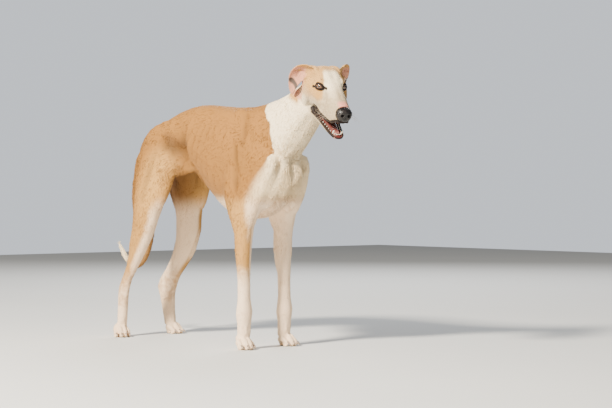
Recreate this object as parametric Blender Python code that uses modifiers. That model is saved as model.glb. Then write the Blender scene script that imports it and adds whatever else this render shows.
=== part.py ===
"""A greyhound, standing, life size, as a still model. Metres, +Z up, nose towards +X, the dog's left is +Y.

The body is modelled whole from lofts and muscles, fused and smoothed, and then parted with thin cuts into the pieces
that a person would name. The head and the paws are fused again on a finer grid. Heights and distances are measured
from the ground under the shoulders until finish moves everything to its own origin.
"""

import math

import bmesh
import bpy
import numpy as np
from mathutils import Matrix, Vector

# Driving dimensions
WITHERS_HEIGHT = 0.716
CHEST_BOTTOM = 0.386
CHEST_HALF_WIDTH = 0.089
GAP = 0.0003

# Grid, extra smoothing of the broad forms and triangles of each part that is fused on its own
BODY_GRID = (0.0030, 14, 5400)
HEAD_GRID = (0.0015, 2, 3600)
PAW_GRID = (0.0013, 0, 560)

# The head's own frame has its origin between the eyes, +X along the skull to the nose and +Z up through the brow
EYES_MIDDLE = Vector((0.3465, -0.0300, 0.7620))
HEAD_TURN = math.radians(-21)
HEAD_DROP = math.radians(27)
GAPE = math.radians(16)
JAW_HINGE = Vector((-0.046, 0, -0.046))
EYE_RADIUS = 0.0130
EYE_CENTRE = Vector((-0.0035, 0.0330, -0.001))
EYE_YAW = math.radians(30)
EYE_PITCH = math.radians(-18)
LID_THICKNESS = 0.0023
EAR_THICKNESS = 0.0028

FAWN = (0.60, 0.40, 0.22)
WHITE = (0.80, 0.74, 0.66)
NOSE_BLACK = (0.018, 0.016, 0.016)
TONGUE_PINK = (0.55, 0.20, 0.18)
AMBER = (0.30, 0.15, 0.05)


def clear_scene():
    for obj in list(bpy.data.objects):
        bpy.data.objects.remove(obj)


def new_collection(name):
    collection = bpy.data.collections.new(name)
    bpy.context.scene.collection.children.link(collection)
    return collection


def new_material(name, colour, roughness):
    material = bpy.data.materials.new(name)
    material.use_nodes = True
    shader = material.node_tree.nodes["Principled BSDF"]
    shader.inputs["Base Color"].default_value = (*colour, 1)
    shader.inputs["Roughness"].default_value = roughness
    shader.inputs["Metallic"].default_value = 0
    return material


def head_matrix():
    turn = Matrix.Rotation(HEAD_TURN, 4, "Z") @ Matrix.Rotation(HEAD_DROP, 4, "Y")
    return Matrix.Translation(EYES_MIDDLE) @ turn


def jaw_matrix():
    """The lower jaw's frame: the head's, opened about the hinge."""
    hinge = Matrix.Translation(JAW_HINGE)
    return head_matrix() @ hinge @ Matrix.Rotation(GAPE, 4, "Y") @ hinge.inverted()


def smooth_rows(rows, per_span):
    """Rows of numbers with more rows between them, on one smooth curve through them all."""
    rows = np.array(rows, float)
    ends = np.vstack([2 * rows[0] - rows[1], rows, 2 * rows[-1] - rows[-2]])
    made = []
    for before, start, end, after in zip(ends, ends[1:], ends[2:], ends[3:]):
        for t in np.arange(per_span) / per_span:
            made.append(
                start
                + 0.5 * t * (end - before)
                + t * t * (before - 2.5 * start + 2 * end - 0.5 * after)
                + 0.5 * t**3 * (3 * start - before - 3 * end + after)
            )
    return np.array(made + [rows[-1]])


def mesh_object(name, bm, collection):
    bmesh.ops.recalc_face_normals(bm, faces=bm.faces)
    mesh = bpy.data.meshes.new(name)
    bm.to_mesh(mesh)
    bm.free()
    obj = bpy.data.objects.new(name, mesh)
    collection.objects.link(obj)
    return obj


def loft(name, rings, collection):
    """A closed skin over rings of points, with a flat cap at each end."""
    bm = bmesh.new()
    made = [[bm.verts.new(point) for point in ring] for ring in rings]
    count = len(made[0])
    for low, high in zip(made, made[1:]):
        for i in range(count):
            j = (i + 1) % count
            bm.faces.new((low[i], low[j], high[j], high[i]))
    bm.faces.new(made[0])
    bm.faces.new(made[-1])
    return mesh_object(name, bm, collection)


def section(centre, side, up, half, rise, fall, square_up=2.0, square_down=2.0, count=32):
    """A closed ring of points: half wide to each side, rise above and fall below its widest line."""
    ring = []
    for k in range(count):
        angle = 2 * math.pi * k / count
        c, s = math.cos(angle), math.sin(angle)
        power = 2 / (square_up if s > 0 else square_down)
        across = math.copysign(abs(c) ** power, c) * half
        along = math.copysign(abs(s) ** power, s) * (rise if s > 0 else fall)
        ring.append(Vector(centre) + Vector(side) * across + Vector(up) * along)
    return ring


def bulge(name, start, end, width, thickness, facing, collection, segments=20):
    """A muscle: an ellipsoid that runs from start to end, with its thin way along facing."""
    start, end = Vector(start), Vector(end)
    along = (end - start).normalized()
    thin = Vector(facing) - along * Vector(facing).dot(along)
    thin.normalize()
    across = along.cross(thin)
    bm = bmesh.new()
    bmesh.ops.create_uvsphere(bm, u_segments=segments, v_segments=segments // 2 + 2, radius=1)
    sizes = Matrix.Diagonal(((end - start).length / 2, width / 2, thickness / 2, 1))
    turn = Matrix((along, across, thin)).transposed().to_4x4()
    bmesh.ops.transform(bm, matrix=Matrix.Translation((start + end) / 2) @ turn @ sizes, verts=bm.verts)
    return mesh_object(name, bm, collection)


def rod(name, points, radii, collection, count=12, per_span=5):
    """A tapering round rod along a smooth path."""
    rows = smooth_rows([(*p, r) for p, r in zip(points, radii)], per_span)
    rings = []
    for i, row in enumerate(rows):
        ahead = Vector(rows[min(i + 1, len(rows) - 1)][:3]) - Vector(rows[max(i - 1, 0)][:3])
        ahead.normalize()
        side = ahead.cross(Vector((0, 1, 0)))
        if side.length < 0.3:
            side = ahead.cross(Vector((0, 0, 1)))
        side.normalize()
        rings.append(section(row[:3], side, ahead.cross(side), row[3], row[3], row[3], count=count))
    return loft(name, rings, collection)


def placed(objects, matrix):
    """The objects moved by the matrix, still facing outwards where it mirrors them."""
    for obj in objects:
        obj.data.transform(matrix)
        if matrix.determinant() < 0:
            obj.data.flip_normals()
    return objects


# Torso, neck, skull and jaw

# Distance ahead of the shoulders, height of the back, of the underline and of the widest line, half width
TORSO = [
    (-0.583, 0.556, 0.512, 0.534, 0.022),
    (-0.566, 0.592, 0.490, 0.540, 0.050),
    (-0.530, 0.632, 0.492, 0.560, 0.070),
    (-0.480, 0.673, 0.508, 0.590, 0.080),
    (-0.420, 0.704, 0.524, 0.615, 0.078),
    (-0.355, WITHERS_HEIGHT + 0.009, 0.530, 0.630, 0.071),
    (-0.290, WITHERS_HEIGHT + 0.018, 0.505, 0.625, 0.073),
    (-0.230, WITHERS_HEIGHT + 0.017, 0.458, 0.600, 0.080),
    (-0.170, WITHERS_HEIGHT + 0.011, 0.414, 0.585, 0.086),
    (-0.110, WITHERS_HEIGHT + 0.005, 0.393, 0.575, CHEST_HALF_WIDTH),
    (-0.050, WITHERS_HEIGHT + 0.002, CHEST_BOTTOM, 0.565, 0.087),
    (0.010, 0.708, CHEST_BOTTOM + 0.002, 0.555, 0.083),
    (0.060, 0.684, 0.402, 0.545, 0.076),
    (0.100, 0.645, 0.428, 0.530, 0.066),
    (0.125, 0.592, 0.455, 0.520, 0.050),
    (0.138, 0.548, 0.490, 0.518, 0.024),
]

# Centre ahead, centre to the left, centre height, half width, reach to the nape, reach to the throat
NECK = [
    (-0.040, 0.000, 0.600, 0.070, 0.112, 0.100),
    (0.050, 0.000, 0.628, 0.070, 0.102, 0.104),
    (0.120, 0.001, 0.664, 0.063, 0.083, 0.093),
    (0.176, 0.003, 0.704, 0.056, 0.060, 0.079),
    (0.222, 0.005, 0.738, 0.052, 0.047, 0.069),
    (0.268, 0.003, 0.762, 0.049, 0.038, 0.056),
]

# Distance ahead of the eyes, height of the top, of the palate and of the widest line, half width
SKULL = [
    (-0.126, -0.012, -0.050, -0.030, 0.028),
    (-0.110, 0.012, -0.066, -0.026, 0.047),
    (-0.084, 0.0290, -0.078, -0.022, 0.058),
    (-0.050, 0.0380, -0.080, -0.022, 0.0620),
    (-0.020, 0.0370, -0.075, -0.026, 0.0560),
    (0.006, 0.0295, -0.070, -0.029, 0.0465),
    (0.032, 0.0185, -0.067, -0.031, 0.0385),
    (0.062, 0.0100, -0.065, -0.033, 0.0325),
    (0.092, 0.0030, -0.065, -0.035, 0.0290),
    (0.116, -0.0040, -0.061, -0.036, 0.0255),
    (0.132, -0.0160, -0.054, -0.036, 0.0165),
]

# The lower jaw, closed: distance ahead of the eyes, height of its rim, of its underside, half width
JAW = [
    (-0.072, -0.050, -0.084, 0.036),
    (-0.050, -0.052, -0.096, 0.045),
    (-0.020, -0.070, -0.100, 0.040),
    (0.020, -0.071, -0.090, 0.032),
    (0.060, -0.065, -0.080, 0.0260),
    (0.100, -0.056, -0.0695, 0.0210),
    (0.122, -0.0515, -0.0635, 0.0165),
    (0.132, -0.0530, -0.0595, 0.0085),
]


def torso(parts):
    side, up = Vector((0, 1, 0)), Vector((0, 0, 1))
    rings = [
        section((x, 0, wide), side, up, half, top - wide, wide - low, 2.25, 1.75)
        for x, top, low, wide, half in smooth_rows(TORSO, 5)
    ]
    return [loft("torso_loft", rings, parts)]


def neck(parts):
    rows = smooth_rows(NECK, 5)
    rings = []
    for i, row in enumerate(rows):
        ahead = Vector(rows[min(i + 1, len(rows) - 1)][:3]) - Vector(rows[max(i - 1, 0)][:3])
        side = Vector((0, 1, 0)) - ahead * ahead.y / ahead.length_squared
        side.normalize()
        up = ahead.cross(side).normalized()
        rings.append(section(row[:3], side, up, row[3], row[4], row[5], 2.2, 2.0))
    return [loft("neck_loft", rings, parts)]


# Hollows and swells pressed into the head: from, to, radius and how far inwards, upwards; both sides alike
HEAD_STROKES = [
    ((0.020, 0.034, -0.004), (0.034, 0.031, -0.010), 0.015, -0.0085, 0.0),
    ((0.006, 0.046, 0.010), (0.006, 0.046, -0.004), 0.012, -0.0030, 0.0),
    ((0.010, 0.040, -0.026), (-0.016, 0.050, -0.020), 0.009, 0.0022, 0.0),
    ((0.050, 0.030, -0.022), (0.095, 0.025, -0.024), 0.014, -0.0022, 0.0),
    ((-0.060, 0.052, 0.006), (-0.030, 0.050, 0.010), 0.016, -0.0030, 0.0),
    ((0.040, 0.034, -0.055), (0.110, 0.024, -0.052), 0.012, 0.0016, 0.0),
    ((-0.060, 0.000, 0.034), (0.020, 0.000, 0.028), 0.010, 0.0, -0.0018),
]


def pressed(strokes, matrix):
    """A function that moves a point by all the strokes, each on both sides of the head's middle."""
    inverse = matrix.inverted()
    rows = [
        (Vector((a[0], a[1] * left, a[2])), Vector((b[0], b[1] * left, b[2])), radius, Vector((0, inwards * left, rise)))
        for a, b, radius, inwards, rise in strokes
        for left in ((1, -1) if a[1] else (1,))
    ]

    def moved(point):
        point = inverse @ point
        total = Vector()
        for start, end, radius, push in rows:
            span = end - start
            t = max(0, min(1, (point - start).dot(span) / span.length_squared))
            total += push * math.exp(-((point - start - span * t).length_squared) / radius**2)
        return matrix @ (point + total)

    return moved


def skull(parts):
    side, up = Vector((0, 1, 0)), Vector((0, 0, 1))
    rings = [
        section((x, 0, wide), side, up, half, top - wide, wide - low, 2.1, 2.6)
        for x, top, low, wide, half in smooth_rows(SKULL, 5)
    ]
    made = [loft("skull_loft", rings, parts)]
    for left in (1, -1):
        out = (0, left, 0)
        made += [
            # the chewing muscle, the arch under the eye, the brow, the temple, the ear's root and the hanging upper lip
            bulge("cheek", (-0.090, 0.043 * left, -0.086), (-0.024, 0.049 * left, -0.014), 0.056, 0.032, out, parts),
            bulge("arch", (-0.078, 0.050 * left, -0.012), (0.030, 0.036 * left, -0.028), 0.024, 0.024, out, parts),
            bulge("brow", (-0.040, 0.030 * left, 0.012), (0.022, 0.021 * left, 0.010), 0.030, 0.026, out, parts),
            bulge("temple", (-0.100, 0.030 * left, 0.004), (-0.026, 0.034 * left, 0.016), 0.050, 0.026, out, parts),
            bulge("ear_base", (-0.090, 0.012 * left, 0.009), (-0.098, 0.056 * left, 0.004), 0.044, 0.034, (0, 0, 1), parts),
            bulge("lip", (-0.006, 0.037 * left, -0.068), (0.118, 0.0195 * left, -0.056), 0.024, 0.014, out, parts),
        ]
    return placed(made, head_matrix())


def lower_jaw(parts):
    side, up = Vector((0, 1, 0)), Vector((0, 0, 1))
    rings = []
    for x, rim, under, half in smooth_rows(JAW, 5):
        middle = rim * 0.4 + under * 0.6
        rings.append(section((x, 0, middle), side, up, half, rim - middle, middle - under, 3.2, 2.2))
    return placed([loft("jaw_loft", rings, parts)], jaw_matrix())


# Legs: level, front and back edge, distance out from the middle, half width

FORELEG = [
    (0.490, 0.088, -0.036, 0.062, 0.030),
    (0.445, 0.082, -0.044, 0.071, 0.032),
    (0.405, 0.068, -0.046, 0.078, 0.032),
    (0.378, 0.056, -0.040, 0.081, 0.029),
    (0.350, 0.046, -0.024, 0.083, 0.0255),
    (0.310, 0.040, -0.016, 0.084, 0.0232),
    (0.260, 0.036, -0.011, 0.084, 0.0208),
    (0.200, 0.034, -0.006, 0.084, 0.0190),
    (0.150, 0.035, -0.005, 0.084, 0.0195),
    (0.118, 0.040, -0.008, 0.084, 0.0240),
    (0.098, 0.039, -0.010, 0.084, 0.0238),
    (0.075, 0.036, -0.007, 0.084, 0.0205),
    (0.050, 0.035, -0.008, 0.084, 0.0195),
    (0.030, 0.030, -0.008, 0.084, 0.0170),
]
FORELEG_LEFT_BACK = 0.018

HINDLEG_RIGHT = [
    (0.610, -0.400, -0.545, 0.045, 0.036),
    (0.570, -0.388, -0.560, 0.056, 0.044),
    (0.530, -0.376, -0.556, 0.066, 0.046),
    (0.490, -0.380, -0.543, 0.076, 0.044),
    (0.450, -0.393, -0.533, 0.085, 0.041),
    (0.415, -0.407, -0.528, 0.092, 0.037),
    (0.380, -0.420, -0.526, 0.097, 0.033),
    (0.340, -0.434, -0.532, 0.100, 0.029),
    (0.300, -0.456, -0.546, 0.102, 0.0255),
    (0.260, -0.480, -0.556, 0.103, 0.0215),
    (0.220, -0.510, -0.573, 0.104, 0.0175),
    (0.185, -0.535, -0.599, 0.105, 0.0150),
    (0.155, -0.548, -0.614, 0.105, 0.0155),
    (0.125, -0.558, -0.616, 0.105, 0.0160),
    (0.090, -0.565, -0.614, 0.105, 0.0155),
    (0.055, -0.572, -0.613, 0.105, 0.0160),
    (0.030, -0.580, -0.612, 0.105, 0.0150),
]
HINDLEG_LEFT = [
    (0.610, -0.400, -0.545, 0.045, 0.036),
    (0.570, -0.392, -0.565, 0.056, 0.044),
    (0.530, -0.395, -0.566, 0.066, 0.046),
    (0.490, -0.410, -0.562, 0.075, 0.044),
    (0.450, -0.428, -0.556, 0.082, 0.041),
    (0.415, -0.437, -0.551, 0.087, 0.037),
    (0.380, -0.444, -0.552, 0.090, 0.033),
    (0.340, -0.446, -0.557, 0.091, 0.029),
    (0.300, -0.464, -0.559, 0.091, 0.0260),
    (0.260, -0.490, -0.574, 0.091, 0.0218),
    (0.220, -0.532, -0.602, 0.091, 0.0178),
    (0.185, -0.564, -0.634, 0.091, 0.0155),
    (0.155, -0.581, -0.652, 0.091, 0.0158),
    (0.125, -0.588, -0.647, 0.091, 0.0160),
    (0.090, -0.588, -0.638, 0.091, 0.0155),
    (0.055, -0.585, -0.629, 0.091, 0.0160),
    (0.030, -0.583, -0.622, 0.091, 0.0150),
]
# How far the hocks turn the hind feet outwards, and the levels over which the turn comes in
HOCK_TURN = math.radians(18)
HOCK_TURN_LEVELS = (0.34, 0.22)

# Middle of the back of each paw, and which side it is on
FOREPAWS = {"right": (Vector((-0.008, -0.085, 0)), -1), "left": (Vector((-0.026, 0.085, 0)), 1)}
HINDPAWS = {"right": (Vector((-0.614, -0.104, 0)), -1), "left": (Vector((-0.620, 0.090, 0)), 1)}

# Length of a paw from there to the longest toes, and how many degrees its toes turn out
FOREPAW_REACH = (0.062, 8)
HINDPAW_REACH = (0.058, 18)


def turned(level, turn, left):
    """The direction that a hind leg faces at a level."""
    high, low = HOCK_TURN_LEVELS
    share = max(0, min(1, (high - level) / (high - low)))
    angle = turn * share * share * (3 - 2 * share) * left
    return Vector((math.cos(angle), math.sin(angle), 0))


def leg(name, rows, left, shift, turn, parts):
    rings = []
    for level, front, back, out, half in smooth_rows(rows, 4):
        ahead = turned(level, turn, left)
        side = Vector((-ahead.y, ahead.x, 0))
        middle = (front + back) / 2 + shift
        reach = (front - back) / 2
        rings.append(section((middle, out * left, level), side, ahead, half, reach, reach, 2.1, 2.0, count=28))
    return loft(name, rings, parts)


def foreleg(left, parts):
    shift = -FORELEG_LEFT_BACK if left > 0 else 0
    made = [leg("foreleg", FORELEG, left, shift, 0, parts)]
    made += [
        # the point of the elbow, the forearm's outer and inner muscles, and the pad behind the wrist
        bulge("elbow", (-0.034, 0.086, 0.440), (-0.034, 0.083, 0.372), 0.030, 0.032, (0, 1, 0), parts),
        bulge("forearm_out", (0.020, 0.094, 0.400), (0.020, 0.090, 0.220), 0.036, 0.026, (0, 1, 0), parts),
        bulge("forearm_back", (-0.014, 0.080, 0.380), (0.000, 0.082, 0.200), 0.030, 0.034, (0, 1, 0), parts),
        bulge("wrist_pad", (-0.008, 0.087, 0.104), (-0.002, 0.087, 0.078), 0.016, 0.012, (0, 1, 0), parts),
    ]
    placed(made[1:], Matrix.Translation((shift, 0, 0)) @ Matrix.Diagonal((1, left, 1, 1)))
    return made


def hindleg(left, parts):
    rows = HINDLEG_RIGHT if left < 0 else HINDLEG_LEFT
    made = [leg("hindleg", rows, left, 0, HOCK_TURN, parts)]
    cord = []
    for level, front, back, out, half in rows:
        if 0.12 < level < 0.32:
            # the strong cord runs just inside the leg's back edge, down to the point of the hock
            middle = Vector(((front + back) / 2, out * left, level))
            cord.append(middle - turned(level, HOCK_TURN, left) * ((front - back) / 2 - 0.004))
    return made + [rod("tendon", cord, [0.010, 0.0065, 0.0055, 0.0075, 0.0085, 0.0070], parts)]


def paw(name, heel, left, toe_out, long, parts):
    """Four arched toes, their pads and a heel pad, from the middle of the paw's back."""
    made = [
        bulge(name, (-0.003, 0, 0.020), (0.042, 0, 0.020), 0.040, 0.032, (0, 0, 1), parts),
        bulge(name, (0.000, 0, 0.042), (0.038, 0, 0.024), 0.041, 0.028, (0, 0, 1), parts),
        bulge(name, (0.002, 0, 0.007), (0.030, 0, 0.006), 0.032, 0.016, (0, 0, 1), parts),
    ]
    pitch = 0.0113
    for slot in (-1.5, -0.5, 0.5, 1.5):
        inner = abs(slot) < 1
        reach = long if inner else long - 0.011
        knuckle = Vector((reach - 0.036, pitch * slot, 0.036 if inner else 0.030))
        joint = Vector((reach - 0.014, pitch * slot * 1.16, 0.026 if inner else 0.023))
        tip = Vector((reach, pitch * slot * 1.24, 0.0100))
        made += [
            bulge(name, knuckle, joint + Vector((0.006, 0, -0.004)), 0.0150, 0.0180, (0, 0, 1), parts),
            bulge(name, joint + Vector((-0.012, 0, 0.004)), tip + Vector((0.003, 0, -0.002)), 0.0150, 0.0180,
                  (0, 0, 1), parts),
            bulge(name, tip + Vector((-0.019, 0, -0.006)), tip + Vector((0.001, 0, -0.0045)), 0.0120, 0.0110,
                  (0, 0, 1), parts),
        ]
    turn = Matrix.Translation(heel) @ Matrix.Rotation(math.radians(toe_out) * left, 4, "Z")
    return placed(made, turn @ Matrix.Translation((0, 0, -0.0012)))


def claws(name, heel, left, toe_out, long, parts):
    pitch = 0.0113
    made = []
    for slot in (-1.5, -0.5, 0.5, 1.5):
        reach = long if abs(slot) < 1 else long - 0.011
        y = pitch * slot * 1.24
        path = [(reach - 0.006, y, 0.0135), (reach + 0.0035, y, 0.0120), (reach + 0.0085, y, 0.0080),
                (reach + 0.0110, y, 0.0035)]
        made.append(rod(name, path, [0.0030, 0.0026, 0.0019, 0.0007], parts, count=6, per_span=1))
    return placed(made, Matrix.Translation(heel) @ Matrix.Rotation(math.radians(toe_out) * left, 4, "Z"))


def muscles(parts):
    made = []
    for left in (1, -1):
        out = (0, left, 0)

        def on(x, y, z):
            return (x, y * left, z)

        made += [
            # shoulder blade, its front edge, the muscle behind the upper arm, the upper arm and the breast
            bulge("blade", on(-0.070, 0.042, 0.716), on(0.084, 0.070, 0.500), 0.086, 0.044, out, parts),
            bulge("blade_front", on(-0.020, 0.030, 0.712), on(0.112, 0.058, 0.510), 0.070, 0.050, out, parts),
            bulge("triceps", on(-0.084, 0.054, 0.630), on(-0.028, 0.086, 0.380), 0.088, 0.048, out, parts),
            bulge("upper_arm", on(0.124, 0.058, 0.572), on(0.006, 0.084, 0.380), 0.080, 0.056, out, parts),
            bulge("breast", on(0.128, 0.024, 0.560), on(0.040, 0.056, 0.404), 0.078, 0.052, out, parts),
            # the back's long muscle, the fold of the flank, the point of the hip, the rump and the seat
            bulge("loin", on(-0.100, 0.026, 0.696), on(-0.480, 0.034, 0.660), 0.060, 0.054, (0, 0, 1), parts),
            bulge("fold", on(-0.250, 0.036, 0.556), on(-0.440, 0.080, 0.536), 0.064, 0.030, out, parts),
            bulge("hip_point", on(-0.450, 0.050, 0.678), on(-0.376, 0.060, 0.664), 0.036, 0.026, out, parts),
            bulge("rump", on(-0.566, 0.044, 0.560), on(-0.410, 0.052, 0.668), 0.104, 0.054, out, parts),
            bulge("seat", on(-0.586, 0.036, 0.525), on(-0.540, 0.052, 0.566), 0.040, 0.032, out, parts),
        ]
    for left, knee, calf in ((-1, 0.0, 0.0), (1, -0.034, -0.012)):
        out = (0, left, 0)

        def on(x, y, z):
            return (x, y * left, z)

        made += [
            # the front and back of the thigh, and the calf
            bulge("thigh_front", on(-0.380, 0.058, 0.650), on(-0.412 + knee, 0.096, 0.405), 0.086, 0.050, out, parts),
            bulge("thigh_back", on(-0.552, 0.056, 0.570), on(-0.490 + calf, 0.098, 0.352), 0.088, 0.050, out, parts),
            bulge("calf", on(-0.486 + calf, 0.100, 0.416), on(-0.516 + 2 * calf, 0.102, 0.250), 0.050, 0.042, out, parts),
        ]
    return made


TAIL_PATH = [
    (-0.540, 0.000, 0.598),
    (-0.582, 0.000, 0.570),
    (-0.616, 0.004, 0.512),
    (-0.622, 0.012, 0.440),
    (-0.612, 0.018, 0.360),
    (-0.614, 0.014, 0.292),
    (-0.636, 0.006, 0.240),
    (-0.672, 0.000, 0.222),
    (-0.714, -0.004, 0.244),
    (-0.742, -0.008, 0.278),
    (-0.757, -0.010, 0.303),
]
TAIL_RADII = [0.0215, 0.0205, 0.0170, 0.0148, 0.0130, 0.0118, 0.0108, 0.0098, 0.0085, 0.0062, 0.0022]


def tail(parts):
    return [rod("tail_rod", TAIL_PATH, TAIL_RADII, parts)]


def baked(obj, collection):
    """The object with its modifiers applied."""
    bpy.context.view_layer.update()
    graph = bpy.context.evaluated_depsgraph_get()
    mesh = bpy.data.meshes.new_from_object(obj.evaluated_get(graph))
    name = obj.name
    bpy.data.objects.remove(obj)
    made = bpy.data.objects.new(name, mesh)
    mesh.name = name
    collection.objects.link(made)
    return made


def gridded(name, pieces, collection, voxel):
    bm = bmesh.new()
    for piece in pieces:
        bm.from_mesh(piece.data)
        bpy.data.objects.remove(piece)
    obj = mesh_object(name, bm, collection)
    remesh = obj.modifiers.new("fuse", "REMESH")
    remesh.mode = "VOXEL"
    remesh.voxel_size = voxel
    return baked(obj, collection)


def fused(name, pieces, collection, grid, moved=None, late=None):
    """One closed skin over all the pieces, pressed and smoothed, with fewer triangles where it is flatter.

    The late pieces join once the others have been pressed.
    """
    voxel, broad, triangles = grid
    obj = gridded(name, pieces, collection, voxel)
    if moved:
        for vertex in obj.data.vertices:
            vertex.co = moved(vertex.co)
    if late:
        obj = gridded(name, [obj] + late, collection, voxel)
    group = obj.vertex_groups.new(name="broad")
    for vertex in obj.data.vertices:
        if vertex.co.z > 0.42 and vertex.co.x > -0.59:
            group.add([vertex.index], 1, "ADD")
    if broad:
        ease = obj.modifiers.new("ease", "SMOOTH")
        ease.factor = 0.5
        ease.iterations = broad
        ease.vertex_group = "broad"
    soften = obj.modifiers.new("soften", "SMOOTH")
    soften.factor = 0.5
    soften.iterations = 4
    thin = obj.modifiers.new("thin", "DECIMATE")
    thin.ratio = min(1, triangles / (2 * len(obj.data.polygons)))
    thin.use_collapse_triangulate = True
    obj = baked(obj, collection)
    for polygon in obj.data.polygons:
        polygon.use_smooth = True
    return obj


def boolean(obj, operation, cutters, collection):
    """The object after one Boolean with all the cutters, which are then removed."""
    holder = bpy.data.collections.new("cutters")
    bpy.context.scene.collection.children.link(holder)
    for cutter in cutters:
        for owner in list(cutter.users_collection):
            owner.objects.unlink(cutter)
        holder.objects.link(cutter)
    modifier = obj.modifiers.new("boolean", "BOOLEAN")
    modifier.operation = operation
    modifier.operand_type = "COLLECTION"
    modifier.collection = holder
    modifier.solver = "MANIFOLD"
    obj = baked(obj, collection)
    for cutter in cutters:
        bpy.data.objects.remove(cutter)
    bpy.data.collections.remove(holder)
    return obj


def islands(obj):
    """Each closed surface of the object: its faces' indices and its volume."""
    bm = bmesh.new()
    bm.from_mesh(obj.data)
    bm.faces.ensure_lookup_table()
    left = set(range(len(bm.faces)))
    found = []
    while left:
        group, edge = [], [left.pop()]
        while edge:
            index = edge.pop()
            group.append(index)
            for side in bm.faces[index].edges:
                for face in side.link_faces:
                    if face.index in left:
                        left.discard(face.index)
                        edge.append(face.index)
        volume = 0
        for index in group:
            corners = [vertex.co for vertex in bm.faces[index].verts]
            for b, c in zip(corners[1:], corners[2:]):
                volume += corners[0].dot(b.cross(c)) / 6
        found.append((group, volume))
    bm.free()
    return found


def kept(obj, groups, name, collection):
    """A new object with only these faces."""
    bm = bmesh.new()
    bm.from_mesh(obj.data)
    bm.faces.ensure_lookup_table()
    wanted = set(groups)
    bmesh.ops.delete(bm, geom=[face for face in bm.faces if face.index not in wanted], context="FACES")
    bmesh.ops.triangulate(bm, faces=bm.faces)
    mesh = bpy.data.meshes.new(name)
    bm.to_mesh(mesh)
    bm.free()
    for polygon in mesh.polygons:
        polygon.use_smooth = True
    made = bpy.data.objects.new(name, mesh)
    collection.objects.link(made)
    return made


def largest(obj, collection):
    """The object with only its largest closed surface."""
    group = max(islands(obj), key=lambda found: abs(found[1]))[0]
    name = obj.name
    obj.name = "whole"
    made = kept(obj, group, name, collection)
    bpy.data.objects.remove(obj)
    made.name = name
    made.data.name = name
    return made


def slit(path, matrix, near, far, parts):
    """A saw cut one gap thick that follows a path in the matrix's XZ plane, from near to far along its Y."""
    points = [Vector((x, 0, z)) for x, z in path]
    left, right = [], []
    for i, point in enumerate(points):
        ahead = points[min(i + 1, len(points) - 1)] - point
        behind = point - points[max(i - 1, 0)]
        normals = [Vector((-d.z, 0, d.x)).normalized() for d in (ahead, behind) if d.length > 0]
        normal = sum(normals, Vector()).normalized()
        reach = GAP / 2 / normal.dot(normals[0])
        left.append(point + normal * reach)
        right.append(point - normal * reach)
    outline = left + right[::-1]
    bm = bmesh.new()
    ends = []
    for y in (near, far):
        ends.append([bm.verts.new(matrix @ Vector((p.x, y, p.z))) for p in outline])
    count = len(outline)
    for i in range(count):
        j = (i + 1) % count
        bm.faces.new((ends[0][i], ends[0][j], ends[1][j], ends[1][i]))
    half = count // 2
    for end in ends:
        for i in range(half - 1):
            bm.faces.new((end[i], end[i + 1], end[count - 2 - i], end[count - 1 - i]))
    return mesh_object("slit", bm, parts)


def cross_matrix():
    """A frame whose X is the dog's left, so that a path in it runs across the body."""
    return Matrix.Rotation(math.pi / 2, 4, "Z")


def cuts(parts):
    """Every thin cut that parts the body, besides those round the head and the paws."""
    across = cross_matrix()
    level = Matrix.Identity(4)
    made = [
        # neck from torso, tail from rump, and the tail in three lengths
        slit([(0.002, 0.790), (0.158, 0.500)], level, -0.14, 0.14, parts),
        slit([(-0.656, 0.566), (-0.590, 0.5195)], level, -0.034, 0.036, parts),
        slit([(-0.650, 0.365), (-0.575, 0.370)], level, -0.020, 0.060, parts),
        slit([(-0.690, 0.265), (-0.690, 0.190)], level, -0.040, 0.040, parts),
    ]
    for left in (-1, 1):
        shift = -FORELEG_LEFT_BACK if left > 0 else 0
        hock = -0.036 if left > 0 else 0
        near, far = sorted((0.030 * left, 0.150 * left))
        made += [
            # upper arm from chest, forearm from upper arm, thigh from hip, shank from thigh, pastern from shank
            slit([(0.036 * left, 0.368), (0.128 * left, 0.574)], across, -0.150, 0.118, parts),
            slit([(-0.080 + shift, 0.402), (0.100 + shift, 0.376)], level, near, far, parts),
            slit([(0.020 * left, 0.452), (0.136 * left, 0.670)], across, 0.250, 0.640, parts),
            slit([(-0.600, 0.440), (-0.350, 0.390)], level, near, far, parts),
            slit([(-0.640 + hock, 0.198), (-0.520 + hock, 0.142)], level, near, far, parts),
        ]
    return made


# Details of the head, in its own frame

# The nose pad: distance ahead of the eyes, top, bottom, widest line, half width
NOSE = [
    (0.1170, -0.0100, -0.0440, -0.0255, 0.0195),
    (0.1245, -0.0070, -0.0465, -0.0250, 0.0222),
    (0.1330, -0.0085, -0.0465, -0.0250, 0.0220),
    (0.1405, -0.0120, -0.0440, -0.0255, 0.0182),
    (0.1450, -0.0170, -0.0385, -0.0265, 0.0110),
]

# The hollow over the tongue: distance ahead of the eyes, palate, bottom, half width
MOUTH = [
    (-0.040, -0.062, -0.110, 0.016),
    (-0.010, -0.058, -0.110, 0.022),
    (0.030, -0.054, -0.110, 0.0225),
    (0.065, -0.050, -0.100, 0.0205),
    (0.095, -0.047, -0.090, 0.0175),
    (0.112, -0.049, -0.080, 0.0115),
]

# The trough of the lower jaw, closed: distance ahead of the eyes, half width, the tongue's top and the floor
TROUGH = [
    (-0.038, 0.0200, -0.0680, -0.0830),
    (0.000, 0.0240, -0.0680, -0.0830),
    (0.040, 0.0215, -0.0640, -0.0785),
    (0.075, 0.0180, -0.0585, -0.0710),
    (0.100, 0.0138, -0.0540, -0.0645),
    (0.116, 0.0085, -0.0520, -0.0595),
]

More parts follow.
